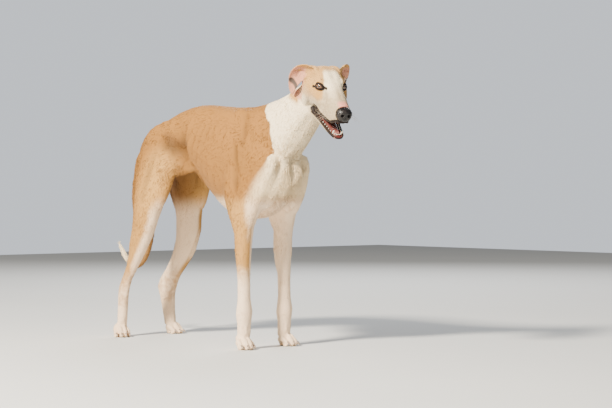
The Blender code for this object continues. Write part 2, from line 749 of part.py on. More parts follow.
# Each ear: middle of its back, width, how far it wraps round and which way its hollow faces, from root to tip
EAR = [
    (-0.0600, 0.0390, 0.0185, 0.052, 84, (0.86, 0.46, 0.16)),
    (-0.0740, 0.0500, 0.0170, 0.058, 76, (0.86, 0.46, 0.16)),
    (-0.0880, 0.0620, 0.0075, 0.058, 66, (0.82, 0.54, 0.14)),
    (-0.0960, 0.0710, -0.0125, 0.052, 58, (0.70, 0.70, 0.10)),
    (-0.0990, 0.0745, -0.0360, 0.040, 52, (0.55, 0.84, 0.04)),
    (-0.1000, 0.0760, -0.0550, 0.026, 44, (0.45, 0.90, 0.00)),
    (-0.0990, 0.0765, -0.0690, 0.006, 25, (0.45, 0.90, 0.00)),
]


def nose_loft(grow, parts):
    side, up = Vector((0, 1, 0)), Vector((0, 0, 1))
    rows = smooth_rows(NOSE, 2)
    rings = []
    for i, (x, top, low, wide, half) in enumerate(rows):
        x += grow * (2 * i / (len(rows) - 1) - 1)
        rings.append(section((x, 0, wide), side, up, half + grow, top - wide + grow, wide - low + grow, 2.2, 2.6, 20))
    return loft("nose_pad", rings, parts)


def nose_pad(parts, collection):
    """The pad, with its two nostrils and the slit that runs back and out from each."""
    pad = nose_loft(0, parts)
    holes = []
    for left in (1, -1):
        path = [(0.1330, 0.0075 * left, -0.0225), (0.1415, 0.0092 * left, -0.0245), (0.1465, 0.0098 * left, -0.0255)]
        holes.append(rod("nostril", path, [0.0030, 0.0042, 0.0050], parts, count=8, per_span=1))
        holes.append(bulge("nostril_slit", (0.1400, 0.0110 * left, -0.0262), (0.1300, 0.0240 * left, -0.0318), 0.0060,
                           0.0045, (1, 0, 0), parts, 8))
    pad = boolean(pad, "DIFFERENCE", holes, collection)
    return largest(placed([pad], head_matrix())[0], collection)


def hollow(rows, parts):
    side, up = Vector((0, 1, 0)), Vector((0, 0, 1))
    rings = []
    for x, top, low, half in smooth_rows(rows, 2):
        middle = top * 0.6 + low * 0.4
        rings.append(section((x, 0, middle), side, up, half, top - middle, middle - low, 2.6, 4.0, 18))
    return loft("hollow", rings, parts)


def trough(parts):
    """What is cut from the lower jaw for the tongue to lie in."""
    rows = [(x, -0.030, floor, half) for x, half, top, floor in TROUGH]
    return placed([hollow(rows, parts)], jaw_matrix())[0]


def tongue(parts, collection):
    """A flat tongue with a groove along its middle, clear of the trough all round."""
    side, up = Vector((0, 1, 0)), Vector((0, 0, 1))
    rings = []
    for x, half, top, floor in smooth_rows(TROUGH, 2):
        floor += 0.0022
        middle = top * 0.4 + floor * 0.6
        ring = section((x * 0.97, 0, middle), side, up, half * 0.80, top - middle, middle - floor, 2.4, 3.4, 16)
        for point in ring:
            if point.z > middle:
                point.z -= 0.0030 * math.exp(-((point.y / 0.005) ** 2)) * min(1, (half / 0.02))
        rings.append(ring)
    made = loft("tongue", rings, collection)
    return placed([made], jaw_matrix())[0]


def tooth(base, tip, radius, parts):
    base, tip = Vector(base), Vector(tip)
    middle = base.lerp(tip, 0.5)
    return rod("tooth", [base, middle, tip], [radius, radius * 0.8, radius * 0.18], parts, count=5, per_span=1)


def lower_teeth(parts):
    """The canines, and the row of small teeth between them."""
    made = []
    for left in (1, -1):
        made.append(tooth((0.1120, 0.0122 * left, -0.055), (0.1155, 0.0138 * left, -0.0395), 0.0027, parts))
        for k in range(3):
            y = (0.0022 + 0.0034 * k) * left
            x = 0.1235 - 0.0012 * k * k
            made.append(tooth((x - 0.002, y, -0.056), (x, y, -0.0455), 0.0018, parts))
    return placed(made, jaw_matrix())


def eye_matrix(left):
    """A frame at the middle of an eye, with X out along its gaze, Y towards its outer corner and Z up."""
    centre = Vector((EYE_CENTRE.x, EYE_CENTRE.y * left, EYE_CENTRE.z))
    place = head_matrix() @ Matrix.Translation(centre)
    turn = Matrix.Rotation(EYE_YAW * left, 4, "Z") @ Matrix.Rotation(EYE_PITCH, 4, "Y")
    return place @ turn @ Matrix.Diagonal((1, left, 1, 1))


def lid_points(upper, radius):
    """Points along the edge of a lid, over the eyeball from the inner corner to the outer one."""
    points = []
    for k in range(9):
        t = k / 8
        azimuth = math.radians(-56 + 117 * t) if upper else math.radians(-54 + 112 * t)
        rise = (33 if upper else -27) * math.sin(math.pi * t) ** 0.8
        elevation = math.radians(-11 * (1 - t) + 8 * t + rise)
        flat = radius * math.cos(elevation)
        points.append((flat * math.cos(azimuth), flat * math.sin(azimuth), radius * math.sin(elevation)))
    return points


def lids(left, parts):
    made = [ball("orbit", left, EYE_RADIUS + LID_THICKNESS, parts, 24)]
    for upper in (True, False):
        radii = [0.0020 + 0.0012 * math.sin(math.pi * k / 8) for k in range(9)]
        made.append(rod("lid", lid_points(upper, EYE_RADIUS + 0.0010), radii, parts, count=8, per_span=2))
    return made[:1] + placed(made[1:], eye_matrix(left))


def eye_opening(left, parts):
    """An almond-shaped plug that opens the skull in front of the eyeball."""
    upper, lower = lid_points(True, EYE_RADIUS), lid_points(False, EYE_RADIUS)
    outline = [Vector(p) for p in upper] + [Vector(p) for p in lower[-2:0:-1]]
    rings = [[point * scale for point in outline] for scale in (0.7, 1.0, 1.25, 1.5)]
    return placed([loft("eye_opening", rings, parts)], eye_matrix(left))[0]


def ball(name, left, radius, collection, segments=16):
    bm = bmesh.new()
    bmesh.ops.create_uvsphere(bm, u_segments=segments, v_segments=segments // 2, radius=radius)
    return placed([mesh_object(name, bm, collection)], eye_matrix(left))[0]


def ear(left, collection):
    """A thin shell that cups forwards at its root and folds back along its length."""
    spread, lift = (0.88, 0.004) if left > 0 else (1, 0)
    rows = smooth_rows([(x, y, z, width, wrap, *face) for x, y, z, width, wrap, face in EAR], 3)
    rings = []
    for i, row in enumerate(rows):
        ahead = Vector(rows[min(i + 1, len(rows) - 1)][:3]) - Vector(rows[max(i - 1, 0)][:3])
        ahead.normalize()
        face = Vector(row[5:8])
        face = (face - ahead * face.dot(ahead)).normalized()
        wide = ahead.cross(face)
        wrap = math.radians(row[4])
        outer = row[3] / (2 * wrap)
        inner = max(outer - EAR_THICKNESS * min(1, row[3] / 0.012), outer * 0.55)
        middle = Vector(row[:3]) + face * outer
        ring = []
        steps = 7
        for k in range(steps):
            angle = wrap * (2 * k / (steps - 1) - 1)
            ring.append(middle - face * inner * math.cos(angle) + wide * inner * math.sin(angle))
        for k in reversed(range(steps)):
            angle = wrap * (2 * k / (steps - 1) - 1)
            ring.append(middle - face * outer * math.cos(angle) + wide * outer * math.sin(angle))
        rings.append([Vector((p.x, (0.044 + (p.y - 0.044) * spread) * left, p.z + lift)) for p in ring])
    side = "left" if left > 0 else "right"
    return placed([loft("ear_" + side, rings, collection)], head_matrix())[0]


def swollen(obj, amount, collection):
    """A copy that stands out by amount all round."""
    copy = bpy.data.objects.new(obj.name + "_swollen", obj.data.copy())
    collection.objects.link(copy)
    spread = copy.modifiers.new("spread", "DISPLACE")
    spread.strength = amount
    spread.mid_level = 0
    return baked(copy, collection)


# Where the middle of each piece lies, by which the pieces of the cut body are told apart
PIECES = {
    "torso": (-0.240, 0.0, 0.580),
    "neck": (0.130, 0.0, 0.660),
    "tail_upper": (-0.612, 0.008, 0.450),
    "tail_middle": (-0.628, 0.010, 0.276),
    "tail_tip": (-0.720, -0.004, 0.255),
}
for _side, _left in (("right", -1), ("left", 1)):
    _back = -FORELEG_LEFT_BACK if _left > 0 else 0
    _hock = -0.036 if _left > 0 else 0
    PIECES["upper_arm_" + _side] = (0.020 + _back, 0.085 * _left, 0.440)
    PIECES["forearm_" + _side] = (0.014 + _back, 0.084 * _left, 0.240)
    PIECES["thigh_" + _side] = (-0.465, 0.085 * _left, 0.500)
    PIECES["shank_" + _side] = (-0.500 + _hock / 3, 0.098 * _left, 0.310)
    PIECES["hind_pastern_" + _side] = (-0.596 + _hock * 0.8, 0.100 * _left, 0.120)
HEAD_PIECES = {"head": (0.330, -0.025, 0.760), "lower_jaw": (0.338, -0.028, 0.680)}


def centre_of(obj, group):
    total, weight = Vector(), 0
    for index in group:
        polygon = obj.data.polygons[index]
        total += polygon.center * polygon.area
        weight += polygon.area
    return total / weight


def parted(obj, anchors, collection):
    """The named pieces of a body that slits have parted; whatever lies by no anchor is dropped."""
    found = [(group, centre_of(obj, group)) for group, volume in islands(obj) if abs(volume) > 2e-7]
    made = {}
    for name, anchor in anchors.items():
        group, centre = min(found, key=lambda pair: (pair[1] - Vector(anchor)).length)
        made[name] = kept(obj, group, name, collection)
    bpy.data.objects.remove(obj)
    return made


def head_slit(parts):
    return slit([(-0.156, 0.076), (-0.050, -0.160)], head_matrix(), -0.12, 0.12, parts)


def jaw_slit(parts):
    path = [(0.160, -0.0740), (0.075, -0.0800), (0.044, -0.0815), (0.012, -0.0810), (-0.026, -0.0730)]
    path += [(-0.064, -0.0500), (-0.090, -0.1500)]
    return slit(path, head_matrix(), -0.09, 0.09, parts)


def build_head(parts, collection):
    """Head, lower jaw, tongue, nose pad, eyes and ears."""
    pieces = skull(parts) + lower_jaw(parts) + neck(parts)
    whole = fused("head_whole", pieces, parts, HEAD_GRID, pressed(HEAD_STROKES, head_matrix()),
                  lids(1, parts) + lids(-1, parts))
    whole = boolean(whole, "DIFFERENCE", [head_slit(parts), jaw_slit(parts)], parts)
    made = parted(whole, HEAD_PIECES, collection)
    head, jaw = made["head"], made["lower_jaw"]
    openings = [placed([hollow(MOUTH, parts)], head_matrix())[0]] + [eye_opening(left, parts) for left in (1, -1)]
    head = boolean(head, "DIFFERENCE", openings, collection)
    sockets = [ball("socket", left, EYE_RADIUS + GAP, parts, 16) for left in (1, -1)]
    sockets += placed([nose_loft(GAP, parts)], head_matrix())
    head = boolean(head, "DIFFERENCE", sockets, collection)
    made["head"] = largest(head, collection)
    jaw = boolean(jaw, "DIFFERENCE", [trough(parts)], collection)
    made["lower_jaw"] = largest(boolean(jaw, "UNION", lower_teeth(parts), collection), collection)
    made["tongue"] = tongue(parts, collection)
    made["nose_pad"] = nose_pad(parts, collection)
    for side, left in (("left", 1), ("right", -1)):
        made["eye_" + side] = ball("eye_" + side, left, EYE_RADIUS, collection)
        flap = ear(left, collection)
        for neighbour in (made["head"], made["lower_jaw"]):
            flap = boolean(flap, "DIFFERENCE", [swollen(neighbour, GAP, parts)], collection)
        made["ear_" + side] = largest(flap, collection)
    return made


def paw_slit(heel, fore, parts):
    level = 0.070 if fore else 0.062
    matrix = Matrix.Translation((heel.x, heel.y, level))
    return slit([(-0.05, 0), (0.08, 0)], matrix, -0.045, 0.045, parts)


def build_paw(name, heel, left, fore, parts, collection):
    long, toe_out = FOREPAW_REACH if fore else HINDPAW_REACH
    pieces = paw("paw", heel, left, toe_out, long, parts) + (foreleg(left, parts) if fore else hindleg(left, parts))
    whole = fused(name, pieces, collection, PAW_GRID)
    bm = bmesh.new()
    bmesh.ops.create_cube(bm, size=1)
    top = 0.070 if fore else 0.062
    place = Matrix.Translation((heel.x, heel.y, (top - GAP / 2) / 2)) @ Matrix.Diagonal((0.30, 0.12, top - GAP / 2, 1))
    bmesh.ops.transform(bm, matrix=place, verts=bm.verts)
    room = mesh_object("room", bm, parts)
    whole = boolean(whole, "INTERSECT", [room], collection)
    whole = boolean(whole, "UNION", claws("claw", heel, left, toe_out, long, parts), collection)
    whole.name = name
    return largest(whole, collection)


def build_body(parts, collection):
    pieces = torso(parts) + neck(parts) + skull(parts) + muscles(parts) + tail(parts)
    for left in (-1, 1):
        pieces += foreleg(left, parts) + hindleg(left, parts)
    whole = fused("body", pieces, parts, BODY_GRID)
    saw = cuts(parts) + [head_slit(parts)]
    saw += [paw_slit(heel, True, parts) for heel, left in FOREPAWS.values()]
    saw += [paw_slit(heel, False, parts) for heel, left in HINDPAWS.values()]
    return parted(boolean(whole, "DIFFERENCE", saw, parts), PIECES, collection)


def material_of(name, materials):
    for key in ("nose", "tongue", "eye"):
        if name.startswith(key):
            return materials[key]
    white = ("neck", "lower_jaw", "forepaw", "hind_paw", "hind_pastern", "tail_tip")
    return materials["white" if name.startswith(white) else "fawn"]


def finish(nodes):
    """One material, smooth shading with sharp cut edges, and every node in the model's own frame."""
    materials = {
        "fawn": new_material("fawn_coat", FAWN, 0.85),
        "white": new_material("white_coat", WHITE, 0.85),
        "nose": new_material("nose_leather", NOSE_BLACK, 0.45),
        "tongue": new_material("wet_tongue", TONGUE_PINK, 0.35),
        "eye": new_material("amber_eye", AMBER, 0.1),
    }
    low = Vector((1e9, 1e9, 1e9))
    high = -low
    for obj in nodes.values():
        for vertex in obj.data.vertices:
            low = Vector(map(min, low, vertex.co))
            high = Vector(map(max, high, vertex.co))
    shift = Matrix.Translation((-(low.x + high.x) / 2, -(low.y + high.y) / 2, -low.z))
    for name, obj in nodes.items():
        obj.name = name
        obj.data.name = name
        obj.data.transform(shift)
        obj.data.materials.clear()
        obj.data.materials.append(material_of(name, materials))
        for polygon in obj.data.polygons:
            polygon.use_smooth = True
            polygon.material_index = 0
        obj.data.set_sharp_from_angle(angle=math.radians(38))
        obj.vertex_groups.clear()


def main():
    clear_scene()
    greyhound = new_collection("greyhound")
    parts = new_collection("construction")
    nodes = build_body(parts, greyhound)
    nodes.update(build_head(parts, greyhound))
    for side, (heel, left) in FOREPAWS.items():
        nodes["forepaw_" + side] = build_paw("forepaw_" + side, heel, left, True, parts, greyhound)
    for side, (heel, left) in HINDPAWS.items():
        nodes["hind_paw_" + side] = build_paw("hind_paw_" + side, heel, left, False, parts, greyhound)
    for obj in list(parts.objects):
        bpy.data.objects.remove(obj)
    bpy.data.collections.remove(parts)
    finish(nodes)


main()
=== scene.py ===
"""A greyhound, standing, as a life-size model: its skin and coat, eyes, mouth and claws, and the studio.

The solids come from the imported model. One skin is fused from copies of them and sculpted; the coat is laid
on it as short tufts that follow the lie of the hair. Places on the body are written from the ground under
the shoulders, places on the head from between the eyes, and BODY and HEAD move both to the model's frame.
"""

import math

import bpy
import numpy as np
from bpy.props import FloatProperty, FloatVectorProperty, IntProperty, PointerProperty
from bpy.types import Operator, Panel, PropertyGroup
from mathutils import Matrix, Vector
from mathutils.bvhtree import BVHTree


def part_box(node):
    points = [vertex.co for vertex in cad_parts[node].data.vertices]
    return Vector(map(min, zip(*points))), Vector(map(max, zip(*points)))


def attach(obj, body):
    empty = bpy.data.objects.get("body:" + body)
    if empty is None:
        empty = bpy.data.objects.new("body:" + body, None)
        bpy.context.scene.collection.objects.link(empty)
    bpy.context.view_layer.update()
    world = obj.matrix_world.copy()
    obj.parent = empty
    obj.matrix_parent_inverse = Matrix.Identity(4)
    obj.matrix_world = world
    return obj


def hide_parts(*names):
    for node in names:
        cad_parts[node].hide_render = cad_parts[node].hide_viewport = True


bl_info = {
    "name": "Standing greyhound",
    "version": (1, 0, 0),
    "blender": (4, 5, 0),
    "location": "View3D > Sidebar > Greyhound",
    "description": "Builds the skin, coat, eyes, mouth and claws of a life-size greyhound over its solids",
    "category": "Object",
}

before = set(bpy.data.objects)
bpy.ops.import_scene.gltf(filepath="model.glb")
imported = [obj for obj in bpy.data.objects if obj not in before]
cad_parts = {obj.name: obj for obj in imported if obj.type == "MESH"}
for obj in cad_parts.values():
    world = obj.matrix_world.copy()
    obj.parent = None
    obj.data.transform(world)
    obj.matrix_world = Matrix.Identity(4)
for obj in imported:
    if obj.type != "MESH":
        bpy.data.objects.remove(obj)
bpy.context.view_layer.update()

SIDES = {"left": 1, "right": -1}
# How far each solid's copy swells, to close the slits between them
SLIT_SWELL = 0.0004
FLESH = ["head", "lower_jaw", "neck", "torso", "tail_upper", "tail_middle", "tail_tip"] + [
    part + "_" + side
    for part in ("ear", "upper_arm", "forearm", "forepaw", "thigh", "shank", "hind_pastern", "hind_paw")
    for side in SIDES
]

# The head's frame against the body's: its place, how far it is turned to the right and dropped
EYES_MIDDLE = Vector((0.3465, -0.0300, 0.7620))
HEAD_TURN = math.radians(-21)
HEAD_DROP = math.radians(27)
GAPE = math.radians(16)
JAW_HINGE = Vector((-0.046, 0, -0.046))
EYE_CENTRE = Vector((-0.0035, 0.0330, -0.001))
EYE_YAW = math.radians(30)
EYE_PITCH = math.radians(-18)
EYE_RADIUS = 0.0130
GAZE_YAW = math.radians(34)
GAZE_PITCH = math.radians(-19)
# How high the eye's two corners lie, in degrees
INNER_CORNER = -11
OUTER_CORNER = 8
# The radius of the lids' dark edge, and the fold of the eye's inner corner in the eye's own frame
LID_EDGE = 0.0014
EYE_CORNER = ((0.0092, -0.0112, -0.0028), (0.0086, -0.0098, -0.0022), (0.0096, -0.0080, -0.0020))


def node_middle(node):
    low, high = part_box(node)
    return (low + high) / 2


def body_matrix():
    """Where the body's own frame lies in the model's, found from the two eyes."""
    turn = Matrix.Rotation(HEAD_TURN, 4, "Z") @ Matrix.Rotation(HEAD_DROP, 4, "Y")
    between = turn @ Vector((EYE_CENTRE.x, 0, EYE_CENTRE.z)) + EYES_MIDDLE
    return Matrix.Translation((node_middle("eye_left") + node_middle("eye_right")) / 2 - between)


BODY = body_matrix()
HEAD = BODY @ Matrix.Translation(EYES_MIDDLE)
HEAD = HEAD @ Matrix.Rotation(HEAD_TURN, 4, "Z") @ Matrix.Rotation(HEAD_DROP, 4, "Y")
JAW = HEAD @ Matrix.Translation(JAW_HINGE) @ Matrix.Rotation(GAPE, 4, "Y") @ Matrix.Translation(-JAW_HINGE)
HEAD_BACK = HEAD.inverted()


def in_head(left, yaw=EYE_YAW, pitch=EYE_PITCH):
    """The frame at an eye's middle, in the head's: X out of the eye, Y to its outer corner and Z up."""
    centre = Vector((EYE_CENTRE.x, EYE_CENTRE.y * left, EYE_CENTRE.z))
    turn = Matrix.Rotation(yaw * left, 4, "Z") @ Matrix.Rotation(pitch, 4, "Y")
    return Matrix.Translation(centre) @ turn @ Matrix.Diagonal((1, left, 1, 1))


class Wire:
    """A socket of a material's nodes, to be used in plain Python expressions."""

    def __init__(self, socket):
        self.socket = socket

    def node(self, kind, settings=None, sockets=None, output=0):
        """The output of a new node: its settings are made first, then the values or links of its sockets."""
        tree = self.socket.id_data
        made = tree.nodes.new(kind)
        for name, value in (settings or {}).items():
            setattr(made, name, value)
        for name, value in (sockets or {}).items():
            if isinstance(value, Wire):
                tree.links.new(value.socket, made.inputs[name])
            else:
                made.inputs[name].default_value = value
        return Wire(made.outputs[output])

    def is_vector(self):
        return self.socket.type in ("VECTOR", "RGBA")

    def joined(self, operation, first, second):
        values = {0: first, 1: second}
        vectors = [
            isinstance(value, (tuple, Vector)) or isinstance(value, Wire) and value.is_vector()
            for value in values.values()
        ]
        kind = "ShaderNodeVectorMath" if any(vectors) else "ShaderNodeMath"
        return self.node(kind, {"operation": operation}, values)

    def __add__(self, other):
        return self.joined("ADD", self, other)

    def __radd__(self, other):
        return self.joined("ADD", other, self)

    def __sub__(self, other):
        return self.joined("SUBTRACT", self, other)

    def __rsub__(self, other):
        return self.joined("SUBTRACT", other, self)

    def __mul__(self, other):
        if self.is_vector() and not isinstance(other, (Wire, tuple, Vector)):
            return self.scaled(other)
        return self.joined("MULTIPLY", self, other)

    __rmul__ = __mul__

    def __truediv__(self, other):
        return self.joined("DIVIDE", self, other)

    def __pow__(self, other):
        return self.joined("POWER", self, other)

    def dot(self, vector):
        return self.node("ShaderNodeVectorMath", {"operation": "DOT_PRODUCT"}, {0: self, 1: vector}, "Value")

    def length(self):
        return self.node("ShaderNodeVectorMath", {"operation": "LENGTH"}, {0: self}, "Value")

    def scaled(self, factor):
        return self.node("ShaderNodeVectorMath", {"operation": "SCALE"}, {0: self, "Scale": factor})

    def absolute(self):
        return self.node("ShaderNodeMath", {"operation": "ABSOLUTE"}, {0: self})

    def most(self, other):
        return self.node("ShaderNodeMath", {"operation": "MAXIMUM"}, {0: self, 1: other})

    def ramp(self, low, high, start=0.0, end=1.0):
        """From start where the value is at low to end where it is at high, smoothly."""
        names = {"Value": self, "From Min": low, "From Max": high, "To Min": start, "To Max": end}
        return self.node("ShaderNodeMapRange", {"interpolation_type": "SMOOTHSTEP"}, names)

    def mix(self, first, second):
        """The first colour where this is 0, the second where it is 1."""
        colours = {0: self, 6: first, 7: second}
        return self.node("ShaderNodeMix", {"data_type": "RGBA"}, colours, 2)

    def noise(self, scale, detail=2.0, rough=0.5, stretch=None):
        """Noise of this scale over a vector, from 0 to 1; with a stretch it is finer across than along."""
        place = self if stretch is None else self.node("ShaderNodeMapping", None, {0: self, "Scale": stretch})
        sockets = {"Vector": place, "Scale": scale, "Detail": detail, "Roughness": rough}
        return place.node("ShaderNodeTexNoise", None, sockets)


def painted(colour):
    return (*colour, 1.0)


def one_place(x, y, z):
    """The vector of three wires."""
    return x.node("ShaderNodeCombineXYZ", None, {"X": x, "Y": y, "Z": z})


def new_material(name, specular=0.5, coat=0.0, subsurface=0.0, sheen=0.0):
    """A new material, its shader node and the wire of the Object coordinates."""
    material = bpy.data.materials.new(name)
    material.use_nodes = True
    shader = material.node_tree.nodes["Principled BSDF"]
    shader.inputs["Specular IOR Level"].default_value = specular
    shader.inputs["Coat Weight"].default_value = coat
    shader.inputs["Coat Roughness"].default_value = 0.06
    shader.inputs["Subsurface Weight"].default_value = subsurface
    shader.inputs["Sheen Weight"].default_value = sheen
    place = material.node_tree.nodes.new("ShaderNodeTexCoord").outputs["Object"]
    return material, shader, Wire(place)


def feed(shader, **wires):
    """Link wires, or set values, to the shader's sockets; an underscore stands for a space."""
    for name, value in wires.items():
        socket = shader.inputs[name.replace("_", " ")]
        if isinstance(value, Wire):
            shader.id_data.links.new(value.socket, socket)
        else:
            socket.default_value = value


def bumped(height, strength, distance, normal=None):
    sockets = {"Height": height, "Strength": strength, "Distance": distance}
    if normal is not None:
        sockets["Normal"] = normal
    return height.node("ShaderNodeBump", None, sockets)


def select_only(*objects):
    bpy.ops.object.select_all(action="DESELECT")
    for obj in objects:
        obj.select_set(True)
    bpy.context.view_layer.objects.active = objects[0]


def modified(obj, kind, **settings):
    """Adds a modifier, sets it and applies it."""
    select_only(obj)
    modifier = obj.modifiers.new(kind.lower(), kind)
    for name, value in settings.items():
        setattr(modifier, name, value)
    bpy.ops.object.modifier_apply(modifier=modifier.name)
    return obj


def linked(name, data):
    """A new object in the scene that holds the mesh or curve."""
    obj = bpy.data.objects.new(name, data)
    bpy.context.scene.collection.objects.link(obj)
    return obj


def edited(obj, *steps):
    """Runs steps on the whole mesh in edit mode; each is an operator with its settings."""
    select_only(obj)
    bpy.ops.object.mode_set(mode="EDIT")
    bpy.ops.mesh.select_all(action="SELECT")
    for operator, settings in steps:
        operator(**settings)
    bpy.ops.object.mode_set(mode="OBJECT")


MERGE = (bpy.ops.mesh.remove_doubles, {"threshold": 1e-6})


def solid_copy(node):
    """A copy of a solid with its triangles joined up."""
    copy = linked(node + "_copy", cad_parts[node].data.copy())
    edited(copy, MERGE)
    return copy


def points_of(obj):
    count = len(obj.data.vertices)
    points, normals = np.empty(count * 3, np.float32), np.empty(count * 3, np.float32)
    obj.data.vertices.foreach_get("co", points)
    obj.data.vertex_normals.foreach_get("vector", normals)
    return points.reshape(-1, 3).astype(float), normals.reshape(-1, 3).astype(float)


def move_points(obj, points):
    obj.data.vertices.foreach_set("co", points.astype(np.float32).ravel())
    obj.data.update()


def to_frame(matrix, points):
    """Points, one a row, moved by a matrix."""
    turn = np.array(matrix.to_3x3())
    return points @ turn.T + np.array(matrix.translation)


def weigh(obj, name, weights, levels=10):
    """A vertex group with the weights, in a few even steps."""
    group = obj.vertex_groups.new(name=name)
    steps = np.rint(np.clip(weights, 0, 1) * levels).astype(int)
    for step in range(1, levels + 1):
        group.add(np.flatnonzero(steps == step).tolist(), step / levels, "REPLACE")
    return group


def near_line(points, start, end):
    """How far each point is from a straight line between two places."""
    start, end = np.array(start, float), np.array(end, float)
    span = end - start
    t = np.clip((points - start) @ span / max(span @ span, 1e-12), 0, 1)
    return np.linalg.norm(points - start - t[:, None] * span, axis=1)


def smoothed(value, low, high):
    t = np.clip((value - low) / (high - low), 0, 1)
    return t * t * (3 - 2 * t)


# Sculpting of the body, alike on both sides: from, to, radius and height
BODY_STROKES = [
    # the edge of the last rib and the hollow of the flank behind it, under the loin and before the hip
    ((-0.272, 0.070, 0.675), (-0.282, 0.066, 0.560), 0.015, 0.0045),
    ((-0.310, 0.068, 0.635), (-0.318, 0.066, 0.572), 0.020, -0.0075),
    ((-0.408, 0.078, 0.618), (-0.320, 0.070, 0.584), 0.022, -0.0155),
    ((-0.350, 0.066, 0.668), (-0.300, 0.064, 0.668), 0.012, -0.0018),
    # the long muscle behind the upper arm, its front crease and the one behind the blade
    ((-0.026, 0.085, 0.600), (-0.014, 0.090, 0.470), 0.0075, -0.0048),
    ((-0.050, 0.086, 0.600), (-0.040, 0.090, 0.480), 0.018, 0.0033),
    ((-0.018, 0.054, 0.700), (0.006, 0.074, 0.634), 0.0085, -0.0033),
    ((0.006, 0.074, 0.634), (0.000, 0.083, 0.600), 0.0085, -0.0030),
    ((0.030, 0.066, 0.690), (0.062, 0.080, 0.600), 0.014, 0.0024),
    ((-0.080, 0.074, 0.560), (-0.060, 0.086, 0.440), 0.010, -0.0042),
    # the groove of the neck's great vein, the breast's cleft and the edge over the point of the shoulder
    ((0.240, 0.030, 0.672), (0.150, 0.046, 0.570), 0.011, -0.0045),
    ((0.165, 0.030, 0.601), (0.128, 0.050, 0.529), 0.0085, -0.0036),
    ((0.142, 0.000, 0.560), (0.110, 0.000, 0.440), 0.011, -0.0078),
    ((0.118, 0.060, 0.560), (0.122, 0.062, 0.530), 0.016, 0.0030),
    # the arm's muscles and the vein down the front of the forearm
    ((0.040, 0.098, 0.480), (0.020, 0.100, 0.400), 0.010, 0.0024),
    ((0.000, 0.098, 0.420), (-0.004, 0.096, 0.300), 0.0060, -0.0027),
    ((0.020, 0.103, 0.350), (0.022, 0.098, 0.170), 0.0035, -0.0012),
    ((0.034, 0.094, 0.350), (0.034, 0.090, 0.160), 0.0022, 0.0010),
    ((-0.012, 0.088, 0.300), (-0.010, 0.088, 0.130), 0.0050, -0.0021),
    # the thigh's long groove, the hip's knob, the seat's edge and the hollow before the hock's cord
    ((-0.425, 0.096, 0.620), (-0.452, 0.118, 0.440), 0.012, -0.0045),
    ((-0.380, 0.060, 0.676), (-0.372, 0.064, 0.664), 0.014, 0.0045),
    ((-0.500, 0.088, 0.600), (-0.520, 0.100, 0.470), 0.012, -0.0027),
    ((-0.545, 0.107, 0.290), (-0.578, 0.108, 0.214), 0.0058, -0.0039),
    ((-0.470, 0.116, 0.380), (-0.505, 0.112, 0.290), 0.0070, -0.0024),
    # the spine's furrow over the loin and the bones of the withers
    ((-0.180, 0.000, 0.728), (-0.420, 0.000, 0.704), 0.009, -0.0024),
    ((-0.040, 0.000, 0.722), (0.000, 0.000, 0.716), 0.016, 0.0024),
    # skin folds where the flank meets the thigh, and before the elbow
    ((-0.300, 0.060, 0.548), (-0.372, 0.084, 0.520), 0.0085, -0.0036),
    ((0.070, 0.090, 0.470), (0.046, 0.096, 0.400), 0.0070, -0.0024),
]
# The ribs: how many, how far apart, and the first one's two ends
RIBS = 8
RIB_PITCH = 0.0265
RIB_TOP = Vector((-0.070, 0.080, 0.650))
RIB_FOOT = Vector((-0.106, 0.070, 0.478))

# Sculpting of the head, in its own frame
HEAD_STROKES = [
    # the brow's furrow, the muzzle's flat top, the line from the eye's corner and the hollow under the eye
    ((-0.060, 0.000, 0.037), (0.000, 0.000, 0.030), 0.0065, -0.0014),
    ((0.060, 0.000, 0.011), (0.105, 0.000, 0.000), 0.0075, -0.0008),
    ((0.012, 0.0260, 0.004), (0.050, 0.0270, -0.020), 0.0060, -0.0012),
    ((-0.004, 0.0480, -0.019), (0.016, 0.0380, -0.022), 0.0040, -0.0010),
    ((-0.012, 0.0440, 0.018), (0.008, 0.0330, 0.022), 0.0060, 0.0016),
    # the muzzle's side: the groove over the lip's whisker bed and a long fold behind the lip's corner
    ((0.045, 0.0330, -0.036), (0.100, 0.0260, -0.034), 0.0055, -0.0009),
    ((0.060, 0.0320, -0.049), (0.108, 0.0250, -0.048), 0.0085, 0.0013),
    ((-0.008, 0.0420, -0.066), (-0.034, 0.0460, -0.056), 0.0035, -0.0016),
    ((-0.014, 0.0410, -0.076), (-0.040, 0.0440, -0.074), 0.0035, -0.0013),
    ((-0.004, 0.0430, -0.058), (-0.022, 0.0470, -0.046), 0.0045, 0.0012),
    # the edge of the chewing muscle and the temple's hollow
    ((-0.020, 0.0520, -0.030), (-0.040, 0.0480, -0.086), 0.0060, -0.0014),
    ((-0.062, 0.0500, 0.018), (-0.036, 0.0440, 0.022), 0.0090, -0.0016),
    # the ear's long crease and the two short ones below it
    ((-0.0730, 0.0560, 0.0110), (-0.0890, 0.0690, 0.0110), 0.0030, -0.0022),
    ((-0.0890, 0.0690, 0.0110), (-0.0965, 0.0820, 0.0060), 0.0030, -0.0022),
    ((-0.0900, 0.0720, 0.0050), (-0.0950, 0.0740, -0.0120), 0.0030, -0.0016),
    ((-0.1040, 0.0850, -0.0240), (-0.0860, 0.0745, -0.0360), 0.0040, -0.0016),
    # the lip's front: the groove under the nose
    ((0.136, 0.0000, -0.048), (0.128, 0.0000, -0.060), 0.0022, -0.0014),
]

